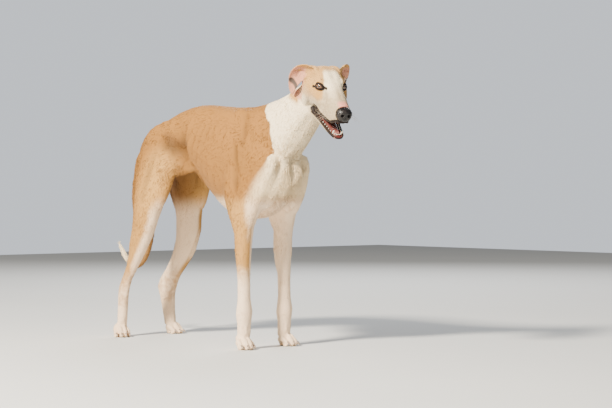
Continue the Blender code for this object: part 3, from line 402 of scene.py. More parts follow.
# How the hair lies: places on the body and the ways that it points
HAIR_LIE = [
    ((0.300, 0.050, 0.760), (-0.90, 0.20, -0.40)),
    ((0.260, 0.000, 0.820), (-1.00, 0.00, -0.10)),
    ((0.440, -0.070, 0.690), (-0.80, 0.10, 0.50)),
    ((0.220, 0.050, 0.740), (-0.70, 0.10, -0.70)),
    ((0.140, 0.050, 0.640), (-0.60, 0.10, -0.80)),
    ((0.140, 0.000, 0.520), (0.00, 0.00, -1.00)),
    ((0.080, 0.000, 0.700), (-0.90, 0.00, -0.20)),
    ((0.060, 0.080, 0.560), (-0.55, 0.10, -0.80)),
    ((-0.100, 0.060, 0.700), (-1.00, 0.10, -0.15)),
    ((-0.100, 0.090, 0.560), (-0.90, 0.00, -0.45)),
    ((-0.150, 0.000, 0.410), (-1.00, 0.00, 0.10)),
    ((-0.300, 0.060, 0.680), (-1.00, 0.20, -0.20)),
    ((-0.340, 0.060, 0.560), (-0.80, 0.00, -0.60)),
    ((-0.480, 0.040, 0.660), (-0.90, 0.20, -0.50)),
    ((-0.440, 0.100, 0.520), (-0.35, 0.00, -0.95)),
    ((-0.550, 0.070, 0.500), (-0.40, -0.20, -0.90)),
    ((-0.480, 0.110, 0.360), (-0.40, 0.00, -0.90)),
    ((-0.540, 0.105, 0.240), (-0.40, 0.00, -0.90)),
    ((-0.590, 0.105, 0.110), (0.00, 0.00, -1.00)),
    ((-0.570, 0.105, 0.030), (0.85, 0.00, -0.50)),
    ((0.010, 0.085, 0.420), (-0.20, 0.10, -1.00)),
    ((0.015, 0.085, 0.240), (-0.10, 0.00, -1.00)),
    ((0.015, 0.085, 0.090), (0.10, 0.00, -1.00)),
    ((0.040, 0.085, 0.030), (0.85, 0.00, -0.50)),
    ((-0.610, 0.005, 0.500), (-0.15, 0.00, -1.00)),
    ((-0.615, 0.015, 0.380), (0.05, 0.00, -1.00)),
    ((-0.650, 0.005, 0.230), (-0.95, 0.00, -0.20)),
    ((-0.740, -0.006, 0.280), (-0.40, 0.00, 0.90)),
]


class SkinSettings(PropertyGroup):
    voxel: FloatProperty(name="Grid", description="Size of the grid that fuses the skin", default=0.0015,
                         unit="LENGTH")
    depth: FloatProperty(name="Depth", description="How far the skin lies inside the coat", default=0.0008,
                         unit="LENGTH")
    faces: IntProperty(name="Triangles", description="Most triangles in the skin", default=190000)
    fawn: FloatVectorProperty(name="Fawn", description="Colour of the flanks", subtype="COLOR", size=3,
                              default=(0.30, 0.136, 0.030))
    white: FloatVectorProperty(name="White", description="Colour of the neck and chest", subtype="COLOR",
                               size=3, default=(0.92, 0.77, 0.52))


class CoatSettings(PropertyGroup):
    tufts: IntProperty(name="Tufts", description="Tufts over the whole body", default=52000, min=100)
    length: FloatProperty(name="Length", description="Length of a tuft on the flank", default=0.0085,
                          unit="LENGTH")
    seed: IntProperty(name="Seed", description="Start of the random draws", default=11)


class EyeSettings(PropertyGroup):
    iris: FloatVectorProperty(name="Iris", description="Colour of the iris", subtype="COLOR", size=3,
                              default=(0.15, 0.070, 0.035))
    pupil: FloatProperty(name="Pupil", description="Radius of the pupil", default=0.0030, unit="LENGTH")


class StageSettings(PropertyGroup):
    floor: FloatVectorProperty(name="Floor", description="Colour of the floor", subtype="COLOR", size=3,
                               default=(0.70, 0.70, 0.68))
    lens: FloatProperty(name="Lens", description="Focal length of the camera", default=103.7, unit="CAMERA")
    camera: FloatVectorProperty(name="Camera", description="Place of the camera from under the shoulders",
                                subtype="TRANSLATION", size=3, default=(4.118, -3.2895, 0.469))


AXES = ((1, 0, 0), (0, 1, 0), (0, 0, 1))
# Colours of the coat's markings, the bare skin, the mouth and the ears, and of the painted shade on them
SHADE = (0.11, 0.052, 0.022)
SADDLE = (0.32, 0.147, 0.032)
RUST = (0.34, 0.148, 0.033)
HEAD_FAWN = (0.48, 0.25, 0.065)
GREY_CREAM_AND_SHADE = (0.40, 0.30, 0.18)
CREAM = (0.62, 0.35, 0.105)
LEG_WHITE = (0.90, 0.68, 0.47)
PINK = (0.74, 0.28, 0.21)
EAR_PINK = (0.56, 0.27, 0.17)
RIM = (0.016, 0.010, 0.008)
GUM = (0.50, 0.20, 0.14)
MOUTH_SHADE = (0.11, 0.020, 0.018)
EAR_DEEP = (0.42, 0.17, 0.11)
EAR_SHADOW = (0.10, 0.07, 0.055)
CHEEK = (0.52, 0.43, 0.31)
SPECK = (0.16, 0.09, 0.05)
WHISKER_DOT = (0.14, 0.09, 0.07)
RIM_GRAIN = (0.040, 0.024, 0.019)
# The shade across each ear's lower fold: from, to, and where it starts and ends to fade
EAR_BAND = ((-0.104, 0.085, -0.025), (-0.083, 0.0735, -0.0400), 0.005, 0.011)


def frame_wires(place, matrix, axes=range(3)):
    """Wires for the place along the axes of a frame."""
    local = place - matrix.translation
    turn = matrix.to_3x3()
    return [local.dot(tuple(turn.col[i])) for i in axes]


def head_wires(place):
    """Wires for the place ahead, across and above, from between the eyes, both sides alike."""
    ahead, left, above = frame_wires(place, HEAD)
    return ahead, left.absolute(), above


def beyond(wire, edge, slope):
    """How far the wire is past an edge, times a slope, and 0 before it."""
    return (wire - edge).most(0.0) * slope


def eye_rim(mirrored):
    """1 on the dark skin of the lids, from the head's mirrored place."""
    out, across, above = frame_wires(mirrored, in_head(1))
    tilted = above - across * 0.10
    almond = ((across - 0.0002) * (1 / 0.0168)) ** 2.0 + (tilted * (1 / 0.0106)) ** 2.0
    return almond.ramp(0.95, 1.40, 1.0, 0.0) * out.ramp(0.002, 0.005)


def coat_colour(place, fawn, white):
    """The markings: fawn above, cream below, white neck, blaze, muzzle and legs, dark lips and lids, and
    painted shade.
    """
    body = place - BODY.translation
    x, y, z = (body.dot(axis) for axis in AXES)
    side = y.absolute()
    ragged = (place.noise(210.0, 2.0) - 0.5) * 0.010 + (place.noise(40.0, 2.0) - 0.5) * 0.014
    cloud = place.noise(9.0, 3.0)
    # the saddle is deeper along the back, and the flanks, thighs and seat are lighter towards the belly
    back = z.ramp(0.60, 0.72) * x.ramp(0.05, -0.05)
    colour = (back * 0.75).mix(painted(fawn), painted(SADDLE))
    colour = (cloud.ramp(0.35, 0.70) * 0.22).mix(colour, painted(RUST))
    mirrored = one_place(x, side, z)
    thigh = capsule(mirrored, (-0.40, 0.10, 0.55), (-0.44, 0.10, 0.42), 0.01, 0.10)
    colour = (thigh * 0.60).mix(colour, painted(CREAM))
    # the photograph's shadow in the flank's hollow and down the tail, as a deeper tan on both sides
    hollow = capsule(mirrored, (-0.392, 0.075, 0.622), (-0.305, 0.067, 0.594), 0.002, 0.042)
    tail = side.ramp(0.040, 0.030) * x.ramp(-0.470, -0.490) * z.ramp(0.60, 0.56)
    colour = (hollow * 0.60).mix(colour, painted(SHADE))
    # the white of the neck has a sharp edge above and fades into cream over the shoulder
    soft = z.ramp(0.58, 0.50)
    edge = x - 0.112 + beyond(z, 0.66, 0.9) - beyond(0.54 - z, 0.0, -0.6) + ragged
    neck = edge.ramp(-0.003 - soft * 0.030, 0.005 + soft * 0.030) * z.ramp(0.40, 0.47)
    pale = (z.ramp(0.64, 0.46) * 0.32).mix(painted(white), painted(CREAM))
    colour = neck.mix(colour, pale)
    # painted shade under the belly, over its greyer bare skin, on the throat and high on the inner thighs
    under = capsule(mirrored, (0.03, 0, 0.41), (-0.22, 0, 0.43), 0.035, 0.075)
    inner = side.ramp(0.075, 0.055) * x.ramp(-0.30, -0.35) * z.ramp(0.56, 0.52) * z.ramp(0.40, 0.45)
    colour = (under * 0.45).mix(colour, painted(GREY_CREAM_AND_SHADE))
    colour = (inner * 0.45).mix(colour, painted(SHADE))
    # painted shade on the throat, as a greyer cream
    throat = capsule(mirrored, (0.150, 0.0, 0.560), (0.290, 0.0, 0.690), 0.020, 0.050) * x.ramp(0.12, 0.16)
    colour = (throat * 0.35).mix(colour, painted(GREY_CREAM_AND_SHADE))
    # forelegs: the left one all white, the right one white in front, within and below
    fore = x.ramp(-0.20, -0.18) * z.ramp(0.46, 0.42)
    colour = (fore * 0.50).mix(colour, painted(CREAM))
    edge_fore = (x + ragged).ramp(0.036, 0.056) * 0.75
    low_fore = (z + ragged * 3.0).ramp(0.26, 0.18)
    left_fore = y.ramp(0.03, 0.05)
    white_fore = edge_fore.most(side.ramp(0.084, 0.074)).most(low_fore).most(left_fore)
    colour = (fore * white_fore).mix(colour, painted(LEG_WHITE))
    # hind legs: rusty hocks, white shins and feet
    hind = x.ramp(-0.28, -0.30) * z.ramp(0.60, 0.54)
    front = x + 0.375 + beyond(0.50 - z, 0.0, 0.36) + beyond(0.34 - z, 0.0, 0.28) + ragged
    shin = front.ramp(-0.022, 0.000) * z.ramp(0.46, 0.38)
    within = side.ramp(0.096, 0.084) * z.ramp(0.46, 0.38) * side.ramp(0.030, 0.044)
    foot = (z + ragged * 4.0).ramp(0.230, 0.110) * side.ramp(0.030, 0.044)
    shank = z.ramp(0.42, 0.30) * hind * 0.45
    colour = shank.mix(colour, painted(CREAM))
    colour = (hind * shin.most(foot).most(within) * 0.92).mix(colour, painted(LEG_WHITE))
    hock = z.ramp(0.075, 0.115) * z.ramp(0.235, 0.175) * hind * place.noise(60.0, 3.0).ramp(0.35, 0.65)
    colour = (hock * 0.45).mix(colour, painted(RUST))
    tail_end = x.ramp(-0.690, -0.720) * z.ramp(0.40, 0.36)
    # painted shade down the tail, a deeper tan
    colour = (tail * 0.55).mix(colour, painted(SHADE))
    colour = tail_end.mix(colour, painted(white))
    return head_colour(place, colour, ragged)


def head_colour(place, colour, ragged):
    hx, hy, hz = head_wires(place)
    jx, jz = frame_wires(place, JAW, (0, 2))
    ragged = ragged * 0.45
    near = (place - HEAD.translation).length().ramp(0.19, 0.17)
    mirrored = one_place(hx, hy, hz)
    # the muzzle's sides and the cheeks are a greyer, mottled cream than the neck, partly painted shade lower
    # down
    mottle = place.noise(95.0, 3.0).ramp(0.30, 0.70)
    sides = near * hx.ramp(-0.060, -0.020) * (hz + hy * 0.6).ramp(0.030, 0.002)
    colour = (sides * (mottle * 0.20 + 0.80)).mix(colour, painted(GREY_CREAM_AND_SHADE))
    # fawn crown and eye patches, with a white blaze between them that widens over the muzzle
    blaze = (hy - 0.016 - beyond(hx, -0.05, 0.20) + ragged).ramp(0.004, -0.003)
    blaze = blaze * (hx + ragged).ramp(-0.046, -0.016)
    patch = (hx + ragged).ramp(-0.128, -0.112) * (hx + ragged).ramp(0.046, 0.020)
    patch = patch * (hz + ragged + beyond(hx, -0.04, -0.25)).ramp(-0.058, -0.036) * (1 - blaze)
    colour = (patch * near * 0.92).mix(colour, painted(HEAD_FAWN))
    ears = hy.ramp(0.058, 0.064) * hx.ramp(-0.050, -0.058) * hz.ramp(-0.100, -0.080) * near
    colour = ears.mix(colour, painted(HEAD_FAWN))
    cheek = capsule(mirrored, (-0.050, 0.055, -0.045), (-0.010, 0.050, -0.050), 0.010, 0.040)
    colour = (cheek * 0.35).mix(colour, painted(CHEEK))
    # the shade across the ear's lower fold, as in the photograph
    colour = (capsule(mirrored, *EAR_BAND) * near).mix(colour, painted(EAR_SHADOW))
    nose_pink = hx.ramp(0.092, 0.110) * hy.ramp(0.019, 0.009) * hz.ramp(-0.018, -0.008) * near
    colour = (nose_pink * 0.90).mix(colour, painted(PINK))
    speck = capsule(mirrored, (-0.002, 0.0330, 0.0205), (0.000, 0.0320, 0.0205), 0.0012, 0.0048)
    colour = (speck * 0.6).mix(colour, painted(SPECK))
    # the whisker bed's dark dots on the lips
    dots = place.node("ShaderNodeTexVoronoi", None, {"Vector": place, "Scale": 150.0}, "Distance")
    bed = capsule(mirrored, (0.055, 0.031, -0.044), (0.100, 0.026, -0.042), 0.006, 0.014)
    colour = (dots.ramp(0.22, 0.14) * bed * 0.45).mix(colour, painted(WHISKER_DOT))
    # dark lids with a tear line, dark lips, and the mouth's red within them, with painted shade deep inside
    tear = capsule(mirrored, (0.0090, 0.0300, 0.0035), (0.0270, 0.0243, 0.0056), 0.0024, 0.0058)
    outer = capsule(mirrored, (-0.0050, 0.0490, -0.0025), (-0.0130, 0.0503, -0.0046), 0.0024, 0.0058)
    colour = eye_rim(mirrored).most(tear).most(outer).mix(colour, painted(RIM))
    upper = hz + 0.0580 - beyond(hx, 0.10, 0.55) - beyond(0.02 - hx, 0.0, 0.25) + ragged * 0.15
    lower = jz + 0.0822 - jx * 0.17
    lips = upper.ramp(0.0014, -0.0014) * lower.ramp(-0.0014, 0.0014) * near
    lips = lips * hx.ramp(-0.010, 0.002).most(hy.ramp(0.041, 0.037)) * hx.ramp(-0.034, -0.026)
    corner = capsule(mirrored, (-0.030, 0.034, -0.080), (0.010, 0.037, -0.071), 0.0060, 0.0095)
    colour = lips.most(corner * near).mix(colour, painted(RIM))
    room = 0.0240 - beyond(hx, 0.02, 0.115)
    floor = jz + 0.0848 - jx * 0.20
    within = (room - hy).ramp(-0.0004, 0.0006) * hz.ramp(-0.0440, -0.0460) * floor.ramp(-0.0004, 0.0004)
    within = within * hx.ramp(-0.046, -0.040) * hx.ramp(0.1235, 0.1210) * near
    # painted shade: the mouth's red darkens away from the lips towards its middle
    depth = (room - hy).ramp(0.0010, 0.0060)
    mouth = depth.mix(painted(GUM), painted(MOUTH_SHADE))
    # painted shade, near black towards the back of the mouth
    mouth = (hx.ramp(0.095, 0.060) * 0.80).mix(mouth, painted(RIM))
    return within.mix(colour, mouth)


def attribute_wire(material, name):
    """The wire of a number that the mesh holds at its points."""
    node = material.node_tree.nodes.new("ShaderNodeAttribute")
    node.attribute_name = name
    return Wire(node.outputs["Fac"])


def coat_material(name, hair=True):
    """The coat's markings, for the skin with its hairs, painted shade in its folds, and ears, or for the
    tufts.
    """
    settings = bpy.context.scene.greyhound_skin
    material, shader, place = new_material(name, specular=0.14, sheen=0.03)
    shader.inputs["Sheen Roughness"].default_value = 0.55
    colour = coat_colour(place, settings.fawn, settings.white)
    if not hair:
        grain = place.noise(420.0, 2.0) * 0.22 + 0.95
        feed(shader, Base_Color=colour.scaled(grain), Roughness=0.66)
        return material
    # fine hair, drawn out along the trunk and down the legs, over a looser unevenness of the skin
    along = place.noise(1.0, 2.0, 0.6, (150, 760, 760))
    down = place.noise(1.0, 2.0, 0.6, (760, 760, 150))
    legs = (place - BODY.translation).dot((0, 0, 1)).ramp(0.50, 0.42)
    hairs = along + (down - along) * legs
    loose = place.noise(55.0, 3.0)
    ear = attribute_wire(material, "inner_ear")
    fold = attribute_wire(material, "fold")
    pink = (place.noise(120.0, 3.0).ramp(0.3, 0.7) * 0.5).mix(painted(EAR_PINK), painted(EAR_DEEP))
    hx, hy, hz = head_wires(place)
    jx, jz = frame_wires(place, JAW, (0, 2))
    # painted shadow across the ear's lower fold
    pink = capsule(one_place(hx, hy, hz), *EAR_BAND).mix(pink, painted(EAR_SHADOW))
    colour = (ear * hz.ramp(0.032, 0.016)).mix(colour, pink)
    # painted shade darkens the hair in the sculpted folds
    tone = (hairs * 0.30 + 0.85) * (1 - fold * 0.50)
    # the mouth is a little smoother than the coat
    wet = (hz + 0.0625).ramp(0.0010, -0.0014) * (jz + 0.0800 - jx * 0.17).ramp(-0.0014, 0.0010)
    wet = wet * hx.ramp(-0.046, -0.030) * hx.ramp(0.150, 0.145)
    rough = wet.ramp(0.0, 1.0, 0.72, 0.55)
    bumps = bumped(hairs, 0.25, 0.0006, bumped(loose, 0.12, 0.0008))
    feed(shader, Base_Color=colour.scaled(tone), Roughness=rough, Normal=bumps)
    return material


def sculpted(points, normals, place, strokes):
    """Points moved by strokes given in a place's own frame, both sides alike, and how folded each is, for the
    painted shade in folds.
    """
    local = to_frame(place.inverted(), points)
    rise, fold = np.zeros(len(points)), np.zeros(len(points))
    for start, end, radius, height in strokes:
        for left in ((1, -1) if abs(start[1]) + abs(end[1]) > 1e-6 else (1,)):
            ends = [(p[0], p[1] * left, p[2]) for p in (start, end)]
            near = np.exp(-((near_line(local, *ends) / radius) ** 2))
            rise += near * height
            if height < 0:
                fold = np.maximum(fold, near * min(1, -height / 0.004))
    return points + normals * rise[:, None], fold


def rib_strokes():
    """Ridges over the ribs with furrows between them, each leaning back a little towards its foot."""
    made = []
    for k in range(RIBS):
        back = Vector((-RIB_PITCH * k, 0, 0.006 * k))
        lean = Vector((-0.008 * k, 0, 0.004 * k))
        made.append((RIB_TOP + back, RIB_FOOT + back + lean, 0.0075, 0.0017))
        between = Vector((-RIB_PITCH / 2, 0, 0))
        made.append((RIB_TOP + back + between, RIB_FOOT + back + lean + between, 0.0070, -0.0014))
    return made


def round_eye(reach, turn, lift):
    """A place round an eye, in the eye's own frame, from its distance and two angles in degrees."""
    turn, lift = math.radians(turn), math.radians(lift)
    flat = reach * math.cos(lift)
    return Vector((flat * math.cos(turn), flat * math.sin(turn), reach * math.sin(lift)))


def lid_arc(reach, count, start, sweep, high, power):
    """Places along a lid from its inner corner, in the eye's own frame, from angles in degrees."""
    row = []
    for t in np.linspace(0, 1, count):
        rise = high * math.sin(math.pi * t) ** power
        row.append(round_eye(reach, start + sweep * t, rise + INNER_CORNER * (1 - t) + OUTER_CORNER * t))
    return row


def lid_strokes():
    """Two folds above each eye and one below it, round the lids."""
    made = []
    for high, reach, height in ((44, 0.0190, -0.0012), (44, 0.0220, 0.0007), (-38, 0.0185, -0.0010)):
        row = [in_head(1) @ point for point in lid_arc(reach, 7, -62, 122, high, 0.8)]
        made += [(a, b, 0.0021, height) for a, b in zip(row, row[1:])]
    return made


def number_attribute(obj, name, values):
    attribute = obj.data.attributes.new(name, "FLOAT", "POINT")
    attribute.data.foreach_set("value", np.clip(values, 0, 1).astype(np.float32))


def inner_ear(points, normals):
    """1 on the hollow side of the ears."""
    local = to_frame(HEAD_BACK, points)
    turned = normals @ np.array(HEAD.to_3x3())
    out = np.abs(local[:, 1])
    ways = np.stack([turned[:, 0], turned[:, 1] * np.sign(local[:, 1]), turned[:, 2]], axis=1)
    hollow = ways @ np.array((0.80, 0.56, 0.12))
    place = smoothed(out, 0.052, 0.060) * smoothed(-local[:, 0], 0.058, 0.070)
    place *= smoothed(local[:, 2], -0.085, -0.070)
    return place * smoothed(hollow, 0.05, 0.45)


class GREYHOUND_OT_skin(Operator):
    """Fuse copies of the solids of flesh into one skin, lay it under the coat and sculpt it"""

    bl_idname = "greyhound.skin"
    bl_label = "Skin"

    def execute(self, context):
        settings = context.scene.greyhound_skin
        copies = [solid_copy(node) for node in FLESH]
        for copy in copies:
            modified(copy, "DISPLACE", strength=SLIT_SWELL, mid_level=0)
        select_only(*copies)
        bpy.ops.object.join()
        skin = context.object
        skin.name = skin.data.name = "skin"
        modified(skin, "REMESH", mode="VOXEL", voxel_size=settings.voxel)
        points, normals = points_of(skin)
        local = to_frame(HEAD_BACK, points)
        body = to_frame(BODY.inverted(), points)
        head = 1 - smoothed(np.linalg.norm(local - np.array((0.0, 0, -0.02)), axis=1), 0.16, 0.20)
        paws = 1 - smoothed(body[:, 2], 0.06, 0.09)
        fine = np.maximum(head, paws)
        weigh(skin, "broad", 1 - fine)
        modified(skin, "SMOOTH", factor=0.5, iterations=14, vertex_group="broad")
        modified(skin, "SMOOTH", factor=0.5, iterations=3)
        points, normals = points_of(skin)
        ear = smoothed(np.abs(local[:, 1]), 0.052, 0.060) * smoothed(-local[:, 0], 0.055, 0.062) * head
        points, fold = sculpted(points, normals, BODY, BODY_STROKES + rib_strokes())
        points, head_fold = sculpted(points, normals, HEAD, HEAD_STROKES + lid_strokes())
        move_points(skin, points - normals * (settings.depth * (1 - 0.6 * ear))[:, None])
        number_attribute(skin, "inner_ear", inner_ear(points, normals))
        # how deep in a sculpted fold each point lies, for the painted shade there
        number_attribute(skin, "fold", np.maximum(fold, head_fold))
        weigh(skin, "thin", 1 - 0.8 * fine)
        ratio = min(1, settings.faces / (2 * len(skin.data.polygons)))
        modified(skin, "DECIMATE", ratio=ratio, vertex_group="thin", vertex_group_factor=1.0,
                 use_collapse_triangulate=True)
        skin.vertex_groups.clear()
        select_only(skin)
        bpy.ops.object.shade_smooth()
        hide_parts(*FLESH)
        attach(skin, "root")
        skin.data.materials.clear()
        skin.data.materials.append(coat_material("skin_finish"))
        return {"FINISHED"}


def capsule(place, start, end, inner, outer):
    """1 within inner of the line from start to end, 0 beyond outer."""
    start, end = Vector(start), Vector(end)
    span = end - start
    along = (place - start).dot(span) * (1 / span.length_squared)
    along = along.node("ShaderNodeClamp", None, {0: along})
    foot = along.node("ShaderNodeVectorMath", {"operation": "SCALE"}, {0: span, "Scale": along})
    return (place - start - foot).length().ramp(inner, outer, 1.0, 0.0)


def unwrapped(skin):
    """A coarse copy of the skin that is unwrapped, its tree and the unwrap's place of each corner."""
    copy = linked("unwrap", skin.data.copy())
    modified(copy, "DECIMATE", ratio=0.08)
    islands = {"angle_limit": math.radians(66), "island_margin": 0.004}
    edited(copy, (bpy.ops.uv.smart_project, islands))
    mesh = copy.data
    mesh.calc_loop_triangles()
    corners = np.array([[mesh.vertices[i].co[:] for i in t.vertices] for t in mesh.loop_triangles])
    layer = mesh.uv_layers.active.data
    places = np.array([[layer[i].uv[:] for i in t.loops] for t in mesh.loop_triangles])
    triangles = [t.vertices[:] for t in mesh.loop_triangles]
    tree = BVHTree.FromPolygons([v.co[:] for v in mesh.vertices], triangles)
    bpy.data.objects.remove(copy)
    return corners, places, tree


def barycentric(points, corners):
    """Each point's shares of its triangle's three corners."""
    a, b, c = corners[:, 0], corners[:, 1], corners[:, 2]
    u, v, w = b - a, c - a, points - a
    uu, uv, vv = (u * u).sum(1), (u * v).sum(1), (v * v).sum(1)
    wu, wv = (w * u).sum(1), (w * v).sum(1)
    area = np.maximum(uu * vv - uv * uv, 1e-18)
    s, t = (vv * wu - uv * wv) / area, (uu * wv - uv * wu) / area
    shares = np.clip(np.stack([1 - s - t, s, t], axis=1), 0, 1)
    return shares / shares.sum(1)[:, None]


def hair_lie(points, normals):
    """The way that the hair lies at each point, along the skin."""
    body = to_frame(BODY.inverted(), points)
    total = np.zeros_like(points)
    for place, way in HAIR_LIE:
        for left in (1, -1):
            spot = np.array((place[0], place[1] * left, place[2]))
            gap = ((body - spot) ** 2).sum(1) + 1e-4
            total += np.array((way[0], way[1] * left, way[2])) / gap[:, None] ** 2
    local = to_frame(HEAD_BACK, points)
    head = 1 - smoothed(np.linalg.norm(local, axis=1), 0.13, 0.17)
    turn = np.array(HEAD.to_3x3())
    back, aside = turn @ np.array((-1.0, 0, -0.15)), turn[:, 1]
    way = total / np.maximum(np.linalg.norm(total, axis=1), 1e-9)[:, None]
    face = back + np.sign(local[:, 1])[:, None] * aside * 0.25
    way = way * (1 - head)[:, None] + face * head[:, None]
    ear = smoothed(np.abs(local[:, 1]), 0.056, 0.064) * smoothed(-local[:, 0], 0.058, 0.066)
    drop = turn @ np.array((-0.3, 0, -1.0)) + np.sign(local[:, 1])[:, None] * aside * 0.3
    way = way * (1 - ear * head)[:, None] + drop * (ear * head)[:, None]
    way -= normals * (way * normals).sum(1)[:, None]
    return way / np.maximum(np.linalg.norm(way, axis=1), 1e-9)[:, None]


# Where the coat breaks the form: from, to, reach, how much denser it is, how much longer and how far it lifts
TUFTED = [
    ((-0.545, 0.070, 0.600), (-0.530, 0.095, 0.420), 0.040, 3.0, 1.5, 0.10),
    ((-0.618, 0.008, 0.520), (-0.612, 0.018, 0.340), 0.030, 2.5, 1.5, 0.10),
    ((-0.612, 0.018, 0.340), (-0.690, 0.000, 0.215), 0.026, 3.0, 1.6, 0.12),
    ((-0.690, 0.000, 0.215), (-0.757, -0.010, 0.303), 0.026, 3.0, 1.4, 0.10),
    ((0.142, 0.000, 0.560), (0.090, 0.000, 0.400), 0.036, 2.0, 1.4, 0.12),
    ((0.060, 0.000, 0.390), (-0.160, 0.000, 0.405), 0.040, 2.0, 1.5, 0.10),
    ((-0.250, 0.040, 0.500), (-0.380, 0.080, 0.520), 0.030, 2.5, 1.4, 0.12),
    ((0.230, 0.030, 0.650), (0.150, 0.040, 0.560), 0.035, 1.5, 1.3, 0.10),
    ((-0.040, 0.084, 0.430), (-0.020, 0.084, 0.300), 0.026, 2.0, 1.4, 0.10),
    ((0.020, 0.000, 0.715), (-0.060, 0.000, 0.722), 0.030, 1.5, 1.2, 0.08),
]
COAT_PIECES = ("coat_head", "coat_neck", "coat_trunk", "coat_haunch", "coat_legs")


def tuft_needs(points):
    """How thickly tufts stand at each point, their length against the flank's, and their lift."""
    body = to_frame(BODY.inverted(), points)
    local = to_frame(HEAD_BACK, points)
    thick, length, lift = np.ones(len(points)), np.ones(len(points)), np.full(len(points), 0.07)
    for start, end, reach, more, longer, rise in TUFTED:
        for left in (1, -1):
            ends = [(p[0], p[1] * left, p[2]) for p in (start, end)]
            near = np.exp(-((near_line(body, *ends) / reach) ** 2))
            thick += near * more
            length = np.maximum(length, 1 + near * (longer - 1))
            lift = np.maximum(lift, 0.07 + near * rise)
    head = 1 - smoothed(np.linalg.norm(local, axis=1), 0.12, 0.18)
    face = smoothed(local[:, 0], -0.05, 0.03) * head
    feet = 1 - smoothed(body[:, 2], 0.05, 0.12)
    legs = 1 - smoothed(body[:, 2], 0.16, 0.34)
    length *= (1 - 0.40 * head - 0.25 * face) * (1 - 0.25 * legs) * (1 - 0.35 * feet)
    thick *= 1 + 1.2 * head + 0.8 * face + 0.5 * feet
    ear = smoothed(np.abs(local[:, 1]), 0.054, 0.062) * smoothed(-local[:, 0], 0.056, 0.062) * head
    length *= 1 - 0.30 * ear
    lift *= 1 - 0.5 * face
    return thick, length, lift


def bare(points, normals):
    """True where no tuft grows: soles, claws, lips, mouth, nose, eyes and the ears' hollows."""
    body = to_frame(BODY.inverted(), points)
    x, y, z = to_frame(HEAD_BACK, points).T
    low = body[:, 2] < 0.006
    lips = (x > -0.020) & (x < 0.150) & (z < -0.0585) & (z > -0.118) & (np.abs(y) < 0.048)
    chin = to_frame(JAW.inverted(), points)
    lips &= chin[:, 2] > -0.083 + 0.17 * chin[:, 0]
    nose = (x > 0.113) & (z > -0.050) & (np.abs(y) < 0.030)
    eyes = np.zeros(len(points), bool)
    for left in (1, -1):
        out = to_frame((HEAD @ in_head(left)).inverted(), points)
        eyes |= ((out[:, 1] / 0.0150) ** 2 + (out[:, 2] / 0.0105) ** 2 < 1) & (np.abs(out[:, 0]) < 0.03)
    return low | lips | nose | eyes | (inner_ear(points, normals) > 0.25)


def piece_index(points):
    """Which of the coat's pieces each point belongs to."""
    body = to_frame(BODY.inverted(), points)
    local = to_frame(HEAD_BACK, points)
    index = np.where(body[:, 0] < -0.30, 3, 2)
    index[body[:, 2] < 0.40] = 4
    index[(body[:, 0] > 0.06) & (body[:, 2] > 0.40)] = 1
    index[np.linalg.norm(local, axis=1) < 0.15] = 0
    return index


# A tuft's triangles over its seven points, their spots on its patch of the map, and the patch's size
TUFT_FACES = [
    (0, 2, 1), (0, 1, 4), (0, 4, 3), (1, 2, 5), (1, 5, 4),
    (2, 0, 3), (2, 3, 5), (3, 4, 6), (4, 5, 6), (5, 3, 6),
]
TUFT_SPOTS = [(-0.5, 0), (0.5, 0), (0, 0.2), (-0.36, 0.5), (0.36, 0.5), (0, 0.6), (0, 1)]
TUFT_PATCH = 0.003
# A tuft's width on the flank and its thickness against its width
TUFT_WIDTH = 0.00105
TUFT_THICKNESS = 0.30


def tuft_mesh(name, root, along, across, up, sizes, place, material):
    """One object of closed wedges: three points at each root, three half way and one at the tip."""
    length, width, lift = sizes
    count = len(root)
    thick = width * TUFT_THICKNESS
    mid = root + along * (length * 0.50)[:, None] + up * (length * lift * 0.75)[:, None]
    tip = root + along * length[:, None] + up * (length * lift * 0.80)[:, None]
    start = root - up * (thick * 0.9)[:, None]
    points = np.empty((count, 7, 3))
    for i, (centre, share) in enumerate(((start, 1.0), (mid, 0.72))):
        half = (width * share * 0.5)[:, None]
        points[:, 3 * i] = centre - across * half
        points[:, 3 * i + 1] = centre + across * half
        points[:, 3 * i + 2] = centre + up * (thick * share)[:, None]
    points[:, 6] = tip
    spots = np.array(TUFT_SPOTS) * TUFT_PATCH - np.array((0, TUFT_PATCH / 2))
    triangles = (np.array(TUFT_FACES)[None] + 7 * np.arange(count)[:, None, None]).reshape(-1, 3)
    mesh = bpy.data.meshes.new(name)
    mesh.from_pydata([], [], [])
    mesh.vertices.add(count * 7)
    mesh.vertices.foreach_set("co", points.astype(np.float32).ravel())
    mesh.loops.add(triangles.size)
    mesh.loops.foreach_set("vertex_index", triangles.astype(np.int32).ravel())
    mesh.polygons.add(len(triangles))
    mesh.polygons.foreach_set("loop_start", np.arange(0, triangles.size, 3, dtype=np.int32))
    mesh.polygons.foreach_set("loop_total", np.full(len(triangles), 3, np.int32))
    mesh.polygons.foreach_set("use_smooth", np.ones(len(triangles), bool))
    mesh.update(calc_edges=True)
    layer = mesh.uv_layers.new(name="OFBake")
    uvs = (place[:, None] + spots[None]).reshape(-1, 2)
    layer.data.foreach_set("uv", uvs[triangles.ravel()].astype(np.float32).ravel())
    mesh.validate()
    obj = linked(name, mesh)
    mesh.materials.append(material)
    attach(obj, "root")
    return obj


